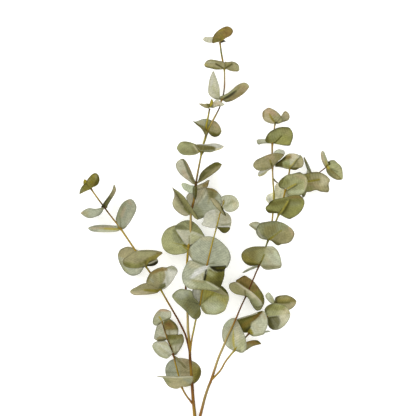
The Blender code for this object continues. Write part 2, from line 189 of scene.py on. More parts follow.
def placed(x: float, y: float, height: float) -> Vector:
    """Gives the world place of a drawing position at a height in millimetres."""
    return Vector(((x - DRAWING_ORIGIN[0]) * SQUARE, (DRAWING_ORIGIN[1] - y) * SQUARE, height * MM))


def at(*numbers: float) -> tuple[tuple[float, float], ...]:
    """Pairs numbers up as points of the drawing, in squares."""
    return tuple(zip(numbers[::2], numbers[1::2]))


def arc_rise(distance: float, start: float, turn: float) -> float:
    """Follows a line that sets off at an angle and turns evenly.

    Args:
        distance: Length of the line.
        start: Angle above level at its start, in degrees.
        turn: How far it has turned at its end, in degrees.

    Returns:
        How high its end is over its start.
    """
    a, b = math.radians(start), math.radians(start + turn)
    if abs(b - a) < 1e-4:
        return distance * math.sin(a)
    return distance / (b - a) * (math.cos(a) - math.cos(b))


def add_node(
    tree: bpy.types.NodeTree, kind: str, inputs: dict | None = None, **settings: object
) -> bpy.types.Node:
    """Adds a shader node with its settings, values and links.

    Args:
        tree: The material's node tree.
        kind: The node's type name.
        inputs: Socket names or numbers, each with a value or with the socket linked to it.
        settings: The node's own properties.

    Returns:
        The new node.
    """
    made = tree.nodes.new(kind)
    for name, value in settings.items():
        setattr(made, name, value)
    for name, value in (inputs or {}).items():
        if isinstance(value, bpy.types.NodeSocket):
            tree.links.new(value, made.inputs[name])
        else:
            made.inputs[name].default_value = value
    return made


@dataclass(frozen=True)
class Patch:
    """A patch of colour on a blade, its corners in drawing squares.

    Two corners draw a line and more enclose an area. spread widens it and blur softens its edge, both in
    squares. Besides the leaf's own markings, patches paint shade and light: shadow in folds, hollows and
    gaps under overlapping leaves, and pale highlight lines where an edge catches the light.
    """

    corners: tuple[tuple[float, float], ...]
    tone: Tone
    share: float = 0.85
    spread: float = 0.5
    blur: float = 1.0

    def cover(self, place: tuple[float, float]) -> float:
        """Tells how far the patch covers a place of the drawing, from 0 to its share."""
        x, y = place
        inside = False
        nearest = math.inf
        for (ax, ay), (bx, by) in zip(self.corners, self.corners[1:] + self.corners[:1]):
            if (ay > y) != (by > y) and x < ax + (y - ay) * (bx - ax) / (by - ay):
                inside = not inside
            length = (bx - ax) ** 2 + (by - ay) ** 2
            t = min(max(((x - ax) * (bx - ax) + (y - ay) * (by - ay)) / length, 0.0), 1.0)
            nearest = min(nearest, math.dist(place, (ax + t * (bx - ax), ay + t * (by - ay))))
        beyond = (-nearest if inside else nearest) - self.spread
        return self.share * (1.0 - eased(-self.blur, self.blur, beyond))


@lru_cache(maxsize=None)
def smooth_line(
    points: tuple[tuple[float, float], ...], onward: tuple[float, float] | None
) -> tuple[list, list]:
    """Runs a smooth line through points.

    Args:
        points: The points, in drawing squares.
        onward: Where the line would go on to after its last point, if it has a way on.

    Returns:
        Places along the line and the share of its length at each.
    """
    places = []
    for i, (start, end) in enumerate(zip(points, points[1:])):
        before = points[max(i - 1, 0)]
        after = points[i + 2] if i + 2 < len(points) else onward or end
        for k in range(LINE_STEPS):
            t = k / LINE_STEPS
            places.append(tuple(
                0.5 * (2 * b + (c - a) * t + (2 * a - 5 * b + 4 * c - d) * t ** 2
                       + (3 * b - 3 * c + d - a) * t ** 3)
                for a, b, c, d in zip(before, start, end, after)
            ))
    places.append(points[-1])
    runs = [0.0]
    for start, end in zip(places, places[1:]):
        runs.append(runs[-1] + math.dist(start, end))
    return places, [run / runs[-1] for run in runs]


def line_place(
    points: tuple[tuple[float, float], ...],
    share: float,
    onward: tuple[float, float] | None = None,
) -> tuple[float, float]:
    """Finds the place at a share of a smooth line's length, in drawing squares."""
    places, shares = smooth_line(points, onward)
    k = min(max(bisect.bisect_right(shares, share), 1), len(shares) - 1)
    t = (share - shares[k - 1]) / max(shares[k] - shares[k - 1], 1e-9)
    return mixed(places[k - 1], places[k], min(max(t, 0.0), 1.0))


@dataclass(frozen=True)
class Leaf:
    """One leaf: angles in degrees, sizes in millimetres, its node in drawing squares.

    pitch is the midrib's rise at the base and bend its further turn to the tip. left and right tilt the two
    halves up from level, and curl turns each half further towards its rim. notch sets the base lobes back,
    point draws in the tip, and skew moves the widest place towards the tip. tones are those of the left and
    right half as they look, so a dark tone on a half turned away from the light is painted shade. rib is
    how clearly the midrib shows in its own tone, and rim_shade is painted shade that darkens the blade
    towards its rims.

    The blade is seen in the drawing between its rims: rims are the points of the left and of
    the right rim between base and tip, and spine those of the midrib, in squares. The rims
    run round the tip in one curve unless it is pointed.
    """

    node: tuple[float, float]
    length: float
    width: float
    tip: tuple[float, float]
    rims: tuple[tuple[tuple[float, float], ...], ...]
    pitch: float = 0.0
    bend: float = 0.0
    left: float = 0.0
    right: float = 0.0
    curl: float = 0.0
    notch: float = 0.10
    point: float = 0.10
    wave: float = 0.6
    skew: float = 0.0
    tones: tuple[Tone, Tone] = (Tone.GREY, Tone.GREY)
    rib: float = 0.0
    rib_tone: Tone = Tone.STEM_OLIVE
    rim_shade: float = 0.45
    pointed: bool = False
    spine: tuple[tuple[float, float], ...] = ()
    patches: tuple[Patch, ...] = ()

    def outline(self, along: float) -> float:
        """Half width at a share of the length, as a share of the greatest."""
        shape = math.sqrt(max(4.0 * along * (1.0 - along), 0.0))
        return shape * (1.0 - self.point * along ** 3 + self.skew * (2.0 * along - 1.0))

    def flat(self, along: float, across: float) -> tuple[float, float]:
        """Run and signed distance from the midrib on the flattened blade, in millimetres."""
        back = self.notch * across ** 2 * (1.0 - along) ** 3
        return self.length * (along - back), 0.5 * self.width * self.outline(along) * across

    def drawn(self, along: float, across: float) -> tuple[float, float]:
        """Finds a place of the blade between its drawn rims, in squares.

        Args:
            along: 0 at the base to 1 at the tip.
            across: -1 at the right rim to 1 at the left rim.

        Returns:
            The place.
        """
        rim, other = self.rims if across > 0 else reversed(self.rims)
        share = math.acos(min(max(1.0 - 2.0 * along, -1.0), 1.0)) / math.pi
        middle = line_place((self.node, *self.spine, self.tip), along)
        onward = None if self.pointed else other[-1]
        edge = line_place((self.node, *rim, self.tip), share, onward)
        return mixed(middle, edge, abs(across))

    def place(self, root: float, index: int, along: float, across: float) -> Vector:
        """Finds a point of the blade.

        Args:
            root: How high the blade leaves its stem, in metres.
            index: The leaf's number on its shoot, which sets its waves.
            along: 0 at the base to 1 at the tip.
            across: -1 at the right rim to 1 at the left rim.

        Returns:
            The point, in metres.
        """
        run, out = self.flat(along, across)
        share = abs(out) / (0.5 * self.width)
        tilt = self.left if out > 0 else self.right
        rise = arc_rise(abs(out), tilt, self.curl * share)
        spot = Vector((run, out, PUCKER_LEAF_SHIFT * index)) / PUCKER_WIDTH
        height = PUCKER_HEIGHT * noise.noise(spot) * eased(0.0, 0.3, along)
        rise += height * math.cos(math.radians(tilt + self.curl * share))
        phase = WAVE_LEAF_PHASE * index + (WAVE_HALF_PHASE if across > 0 else 0.0)
        rise += self.wave * across ** 2 * share * math.sin(WAVE_TURNS * along + phase)
        lift = arc_rise(run, self.pitch, self.bend * along)
        slope = math.radians(self.pitch + self.bend * along)
        point = placed(*self.drawn(along, across), 0.0)
        point.z = max(root + (lift + rise * math.cos(slope)) * MM, PRESSED_HEIGHT * MM)
        return point

    def tint(self, along: float, across: float) -> tuple[float, ...]:
        """Finds the colour of a point of the blade.

        Args:
            along: 0 at the base to 1 at the tip.
            across: -1 at the right rim to 1 at the left rim.

        Returns:
            The linear colour.
        """
        left, right = (linear(tone.value) for tone in self.tones)
        colour = mixed(right, left, eased(-0.08, 0.08, across))
        seen = self.drawn(along, across)
        for patch in self.patches:
            colour = mixed(colour, linear(patch.tone.value), patch.cover(seen))
        inside = (1.0 - abs(across)) * self.outline(along) * 0.5 * self.width
        shade = 1.0 - self.rim_shade * (1.0 - eased(0.0, RIM_SHADE_WIDTH, inside))
        return tuple(c * shade for c in colour)


@dataclass(frozen=True)
class LeafFinish:
    """The waxy skin of a eucalyptus leaf: matte, with a pale bloom over fine sunken veins."""

    name: str
    bloom_share: float
    roughness: float = 0.62
    vein_spacing: float = 3.4
    cell_width: float = 1.5
    mottle_width: float = 9.0
    speck_width: float = 2.4
    mottle_shades: tuple[float, float] = (0.84, 1.16)
    speck_shades: tuple[float, float] = (0.86, 1.14)
    vein_colour: str = "#AEB3A2"
    vein_share: float = 0.3

    def make(self) -> bpy.types.Material:
        """Builds the material, which reads the blade's tint and its flattened millimetres."""
        surface = bpy.data.materials.new(self.name)
        surface.use_nodes = True
        tree = surface.node_tree
        shader = tree.nodes["Principled BSDF"]
        tint = add_node(tree, "ShaderNodeAttribute", attribute_name="tint")
        strength = add_node(tree, "ShaderNodeAttribute", attribute_name="rib")
        blade = add_node(tree, "ShaderNodeUVMap", uv_map="blade")
        flat = add_node(tree, "ShaderNodeSeparateXYZ", {0: blade.outputs[0]})
        out = add_node(tree, "ShaderNodeMath", {0: flat.outputs[1]}, operation="ABSOLUTE")
        place = add_node(tree, "ShaderNodeTexCoord")
        mottle = add_node(
            tree, "ShaderNodeTexNoise",
            {"Vector": place.outputs["Object"], "Scale": 1.0 / (self.mottle_width * MM),
             "Detail": 4.0, "Roughness": 0.6},
        )
        speck = add_node(
            tree, "ShaderNodeTexNoise",
            {"Vector": place.outputs["Object"], "Scale": 1.0 / (self.speck_width * MM),
             "Detail": 2.0},
        )
        cells = add_node(
            tree, "ShaderNodeTexVoronoi",
            {"Vector": place.outputs["Object"], "Scale": 1.0 / (self.cell_width * MM)},
            feature="DISTANCE_TO_EDGE",
        )
        slant = add_node(
            tree, "ShaderNodeMath",
            {0: out.outputs[0], 1: -0.75, 2: flat.outputs[0]}, operation="MULTIPLY_ADD",
        )
        wander = add_node(
            tree, "ShaderNodeMath",
            {0: mottle.outputs[0], 1: 0.4 * self.vein_spacing, 2: slant.outputs[0]},
            operation="MULTIPLY_ADD",
        )
        beat = add_node(
            tree, "ShaderNodeMath",
            {0: wander.outputs[0], 1: math.tau / self.vein_spacing}, operation="MULTIPLY",
        )
        wave = add_node(tree, "ShaderNodeMath", {0: beat.outputs[0]}, operation="SINE")
        vein = add_node(
            tree, "ShaderNodeMapRange",
            {"Value": wave.outputs[0], "From Min": 0.55, "From Max": 1.0},
            interpolation_type="SMOOTHSTEP",
        )
        rib = add_node(
            tree, "ShaderNodeMapRange",
            {"Value": out.outputs[0], "From Min": 1.3, "From Max": 0.5},
            interpolation_type="SMOOTHSTEP",
        )
        rib_share = add_node(
            tree, "ShaderNodeMath",
            {0: rib.outputs[0], 1: strength.outputs["Alpha"]}, operation="MULTIPLY",
        )
        cloud = add_node(
            tree, "ShaderNodeMapRange",
            {"Value": mottle.outputs[0], "From Min": 0.3, "From Max": 0.7,
             "To Min": self.mottle_shades[0], "To Max": self.mottle_shades[1]},
        )
        grain = add_node(
            tree, "ShaderNodeMapRange",
            {"Value": speck.outputs[0], "From Min": 0.3, "From Max": 0.7,
             "To Min": self.speck_shades[0], "To Max": self.speck_shades[1]},
        )
        shade = add_node(
            tree, "ShaderNodeMath", {0: cloud.outputs[0], 1: grain.outputs[0]},
            operation="MULTIPLY",
        )
        clouded = add_node(
            tree, "ShaderNodeVectorMath",
            {0: tint.outputs["Color"], 3: shade.outputs[0]}, operation="SCALE",
        )
        veined = add_node(
            tree, "ShaderNodeMix",
            {0: 0.0, 6: clouded.outputs[0], 7: (*linear(self.vein_colour), 1.0)},
            data_type="RGBA", blend_type="MULTIPLY",
        )
        vein_share = add_node(
            tree, "ShaderNodeMath", {0: vein.outputs[0], 1: self.vein_share}, operation="MULTIPLY"
        )
        tree.links.new(vein_share.outputs[0], veined.inputs[0])
        ribbed = add_node(
            tree, "ShaderNodeMix",
            {0: rib_share.outputs[0], 6: veined.outputs[2], 7: strength.outputs["Color"]},
            data_type="RGBA",
        )
        waxed = add_node(
            tree, "ShaderNodeMix",
            {0: self.bloom_share, 6: ribbed.outputs[2], 7: (*linear(PALE.value), 1.0)},
            data_type="RGBA",
        )
        relief = add_node(
            tree, "ShaderNodeMath", {0: cells.outputs["Distance"], 1: 0.5}, operation="MULTIPLY"
        )
        sunk = add_node(
            tree, "ShaderNodeMath", {0: relief.outputs[0], 1: vein.outputs[0]},
            operation="SUBTRACT",
        )
        bump = add_node(
            tree, "ShaderNodeBump",
            {"Height": sunk.outputs[0], "Strength": 0.35, "Distance": 0.25 * MM},
        )
        tree.links.new(waxed.outputs[2], shader.inputs["Base Color"])
        tree.links.new(bump.outputs[0], shader.inputs["Normal"])
        shader.inputs["Roughness"].default_value = self.roughness
        shader.inputs["IOR"].default_value = 1.45
        shader.inputs["Specular IOR Level"].default_value = 0.07
        return surface


@dataclass(frozen=True)
class BarkFinish:
    """Thin smooth bark: a low gloss over fine lengthwise fibres and small brown lenticels."""

    name: str
    roughness: float = 0.48
    fibre_width: float = 0.5
    lenticel_width: float = 3.2
    lenticel_colour: str = "#5A3414"
    lenticel_share: float = 0.45
    fibre_shades: tuple[float, float] = (0.8, 1.15)

    def make(self) -> bpy.types.Material:
        """Builds the material, which reads the stem's tint and its unrolled millimetres."""
        surface = bpy.data.materials.new(self.name)
        surface.use_nodes = True
        tree = surface.node_tree
        shader = tree.nodes["Principled BSDF"]
        tint = add_node(tree, "ShaderNodeAttribute", attribute_name="tint")
        place = add_node(tree, "ShaderNodeTexCoord")
        unrolled = add_node(tree, "ShaderNodeUVMap", uv_map="blade")
        along = add_node(
            tree, "ShaderNodeMapping",
            {"Vector": unrolled.outputs[0], "Scale": (0.06, 1.0 / self.fibre_width, 1.0)},
        )
        fibre = add_node(
            tree, "ShaderNodeTexNoise", {"Vector": along.outputs[0], "Scale": 1.0, "Detail": 3.0}
        )
        blotch = add_node(
            tree, "ShaderNodeTexNoise",
            {"Vector": place.outputs["Object"], "Scale": 1.0 / (self.lenticel_width * MM),
             "Detail": 3.0, "Roughness": 0.65},
        )
        patch = add_node(
            tree, "ShaderNodeMapRange",
            {"Value": blotch.outputs[0], "From Min": 0.56, "From Max": 0.72},
            interpolation_type="SMOOTHSTEP",
        )
        patch_share = add_node(
            tree, "ShaderNodeMath", {0: patch.outputs[0], 1: self.lenticel_share}, operation="MULTIPLY"
        )
        streak = add_node(
            tree, "ShaderNodeMapRange",
            {"Value": fibre.outputs[0], "From Min": 0.3, "From Max": 0.7,
             "To Min": self.fibre_shades[0], "To Max": self.fibre_shades[1]},
        )
        streaked = add_node(
            tree, "ShaderNodeVectorMath",
            {0: tint.outputs["Color"], 3: streak.outputs[0]}, operation="SCALE",
        )
        spotted = add_node(
            tree, "ShaderNodeMix",
            {0: patch_share.outputs[0], 6: streaked.outputs[0],
             7: (*linear(self.lenticel_colour), 1.0)},
            data_type="RGBA",
        )
        bump = add_node(
            tree, "ShaderNodeBump",
            {"Height": fibre.outputs[0], "Strength": 0.4, "Distance": 0.15 * MM},
        )
        tree.links.new(spotted.outputs[2], shader.inputs["Base Color"])
        tree.links.new(bump.outputs[0], shader.inputs["Normal"])
        shader.inputs["Roughness"].default_value = self.roughness
        shader.inputs["IOR"].default_value = 1.5
        shader.inputs["Specular IOR Level"].default_value = 0.12
        return surface


@dataclass(frozen=True)
class PaperFinish:
    """Matte white paper over a light table, which only catches the faintest shade."""

    name: str = "white_paper_lit"
    colour: str = "#F6F6F4"
    glow: float = 0.3

    def make(self) -> bpy.types.Material:
        """Builds the material."""
        surface = bpy.data.materials.new(self.name)
        surface.use_nodes = True
        shader = surface.node_tree.nodes["Principled BSDF"]
        shader.inputs["Base Color"].default_value = (*linear(self.colour), 1.0)
        shader.inputs["Roughness"].default_value = 0.9
        shader.inputs["Emission Color"].default_value = (1.0, 1.0, 1.0, 1.0)
        shader.inputs["Emission Strength"].default_value = self.glow
        shader.inputs["Specular IOR Level"].default_value = 0.1
        return surface


@dataclass(frozen=True)
class Finishes:
    """The materials that the shoots share."""

    upper: bpy.types.Material
    lower: bpy.types.Material
    bark: bpy.types.Material


@dataclass(frozen=True)
class Shoot:
    """A stem with its leaves.

    A route point is x, y in squares, height and diameter in millimetres, and its bark.
    """

    name: str
    slot: str
    route: tuple
    leaves: tuple[Leaf, ...]
    forked: bool = True

    def samples(self) -> list[tuple[Vector, float, tuple[float, ...]]]:
        """Follows the route smoothly and gives places, radii and colours along it."""
        found = []
        route = self.route
        for i, (start, end) in enumerate(zip(route, route[1:])):
            before = route[max(i - 1, 0)]
            after = route[min(i + 2, len(route) - 1)]
            span = (placed(*end[:3]) - placed(*start[:3])).length
            steps = max(2, round(span / STEM_STEP))
            for k in range(steps + (i == len(route) - 2)):
                t = k / steps
                x, y, height, diameter = (
                    0.5 * (2 * b + (c - a) * t + (2 * a - 5 * b + 4 * c - d) * t ** 2
                           + (3 * b - 3 * c + d - a) * t ** 3)
                    for a, b, c, d in zip(before[:4], start[:4], end[:4], after[:4])
                )
                colour = mixed(linear(start[4].value), linear(end[4].value), eased(0.0, 1.0, t))
                radius = 0.5 * (diameter + BARK_DEPTH) * MM
                found.append((placed(x, y, height), radius, colour))
        nodes = {self.node_place(leaf) for leaf in self.leaves}
        swollen = []
        for place, radius, colour in found:
            near = max(
                (math.exp(-((place - Vector(n)).length / NODE_REACH) ** 2) for n in nodes),
                default=0.0,
            )
            fork = math.exp(-((place - found[0][0]).length / FORK_REACH) ** 2) * self.forked
            radius *= 1.0 + NODE_SWELLING * near + FORK_SWELLING * fork
            swollen.append((place, radius, mixed(colour, linear(DARK.value), 0.5 * near)))
        return swollen

    def node_place(self, leaf: Leaf) -> tuple[float, ...]:
        """Gives the point of the stem that a leaf grows from."""
        point = min(self.route, key=lambda p: math.dist(p[:2], leaf.node))
        return tuple(placed(*leaf.node, point[2]))

    def build_stem(self, finish: bpy.types.Material) -> bpy.types.Object:
        """Draws the stem out of a disc, ring by ring.

        Args:
            finish: The bark.

        Returns:
            The stem, a closed tube.
        """
        samples = self.samples()
        bm = bmesh.new()
        tint = bm.verts.layers.float_color.new("tint")
        blade = bm.loops.layers.uv.new("blade")
        bmesh.ops.create_circle(bm, cap_ends=True, radius=1.0, segments=STEM_SIDES)
        bm.faces.ensure_lookup_table()
        face = bm.faces[0]
        places = [place for place, _, _ in samples]
        heading = places[1] - places[0]
        turn = Vector((0.0, 0.0, 1.0)).rotation_difference(heading)
        if face.normal.z > 0:
            bmesh.ops.reverse_faces(bm, faces=[face])
        for i, (place, radius, colour) in enumerate(samples):
            before, after = places[max(i - 1, 0)], places[min(i + 1, len(places) - 1)]
            turn = (turn @ Vector((0.0, 0.0, 1.0))).rotation_difference(after - before) @ turn
            if i > 0:
                made = bmesh.ops.extrude_face_region(bm, geom=[face])
                if i > 1:
                    bmesh.ops.delete(bm, geom=[face], context="FACES_ONLY")
                face = next(g for g in made["geom"] if isinstance(g, bmesh.types.BMFace))
            spin = Matrix.Translation(place) @ turn.to_matrix().to_4x4()
            for k, vert in enumerate(face.verts):
                angle = math.tau * k / STEM_SIDES
                rim = Vector((math.cos(angle), math.sin(angle), 0.0)) * radius
                vert.co = spin @ rim
                shade = 1.0 - SHADY_SIDE * eased(-0.1, 0.9, (vert.co - place).x / radius)
                vert[tint] = (*(c * shade for c in colour), 1.0)
        bmesh.ops.recalc_face_normals(bm, faces=bm.faces)
        for f in bm.faces:
            for loop in f.loops:
                loop[blade].uv = (loop.vert.co.y / MM, loop.vert.co.x / MM)
        mesh = bpy.data.meshes.new(self.name + "_wood")
        bm.to_mesh(mesh)
        bm.free()
        mesh.shade_smooth()
        mesh.set_sharp_from_angle(angle=RIM_EDGE_ANGLE)
        return self.finished(mesh, [finish])

    def build_leaves(self, finishes: Finishes) -> bpy.types.Object:
        """Shapes each leaf from a grid, then gives them all their thickness.

        Args:
            finishes: The materials of the upper and lower faces.

        Returns:
            The shoot's leaves, closed blades in one piece.
        """
        bm = bmesh.new()
        tint = bm.verts.layers.float_color.new("tint")
        rib = bm.verts.layers.float_color.new("rib")
        weight = bm.verts.layers.deform.verify()
        blade = bm.loops.layers.uv.new("blade")
        for index, leaf in enumerate(self.leaves):
            self.shape_leaf(bm, leaf, index, (tint, rib, weight, blade))
        mesh = bpy.data.meshes.new(self.name + "_leaves")
        bm.to_mesh(mesh)
        bm.free()
        sheet = self.finished(mesh, [finishes.upper, finishes.lower])
        sheet.vertex_groups.new(name="thickness")
        solid = sheet.modifiers.new("Thickness", "SOLIDIFY")
        solid.thickness = LEAF_THICKNESS
        solid.offset = 0.0
        solid.material_offset = 1
        solid.vertex_group = "thickness"
        solid.thickness_vertex_group = RIM_THICKNESS_SHARE
        depsgraph = bpy.context.evaluated_depsgraph_get()
        solid_mesh = bpy.data.meshes.new_from_object(sheet.evaluated_get(depsgraph))
        sheet.modifiers.clear()
        sheet.vertex_groups.clear()
        sheet.data = solid_mesh
        bpy.data.meshes.remove(mesh)
        solid_mesh.name = self.name + "_leaves"
        solid_mesh.shade_smooth()
        solid_mesh.set_sharp_from_angle(angle=RIM_EDGE_ANGLE)
        return sheet

    def shape_leaf(self, bm: bmesh.types.BMesh, leaf: Leaf, index: int, layers: tuple) -> None:
        """Adds one leaf to the shoot's sheet.

        Args:
            bm: The sheet.
            leaf: The leaf.
            index: Its number on the shoot.
            layers: The sheet's tint, rib, thickness and blade layers.
        """
        tint, rib, weight, blade = layers
        rise = LEAF_ROOT_OFFSET * MM * math.sin(math.radians(leaf.pitch))
        root = self.node_place(leaf)[2] + rise
        is_bud = leaf.length < BUD_LENGTH
        made = bmesh.ops.create_grid(
            bm,
            x_segments=BUD_STEPS if is_bud else LEAF_STEPS_ALONG,
            y_segments=BUD_STEPS if is_bud else LEAF_STEPS_ACROSS,
            size=1.0,
        )
        for vert in made["verts"]:
            along = min(max(0.5 * (1.0 - math.cos(0.5 * math.pi * (vert.co.x + 1.0))), 0.0), 1.0)
            across = vert.co.y * (RIB_STEP_SHARE + (1.0 - RIB_STEP_SHARE) * abs(vert.co.y))
            for loop in vert.link_loops:
                loop[blade].uv = leaf.flat(along, across)
            vert[tint] = (*leaf.tint(along, across), 1.0)
            rib_share = leaf.rib * (1.0 - eased(0.35, 0.75, along))
            vert[rib] = (*linear(leaf.rib_tone.value), rib_share)
            vert[weight][0] = 1.0 - eased(0.0, 1.0, abs(across) * leaf.outline(along))
            vert.co = leaf.place(root, index, along, across)
        bmesh.ops.remove_doubles(bm, verts=made["verts"], dist=WELD)

    def finished(
        self, mesh: bpy.types.Mesh, surfaces: list[bpy.types.Material]
    ) -> bpy.types.Object:
        """Makes the mesh a piece of the branch with its materials."""
        piece = bpy.data.objects.new(mesh.name, mesh)
        bpy.context.scene.collection.objects.link(piece)
        for surface in surfaces:
            mesh.materials.append(surface)
        return piece

    def build(self, finishes: Finishes) -> list[bpy.types.Object]:
        """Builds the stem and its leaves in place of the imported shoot.

        Args:
            finishes: The shared materials.

        Returns:
            The two pieces.
        """
        pieces = [self.build_stem(finishes.bark), self.build_leaves(finishes)]
        for piece in pieces:
            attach(piece, "root")
            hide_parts(self.name)
        return pieces


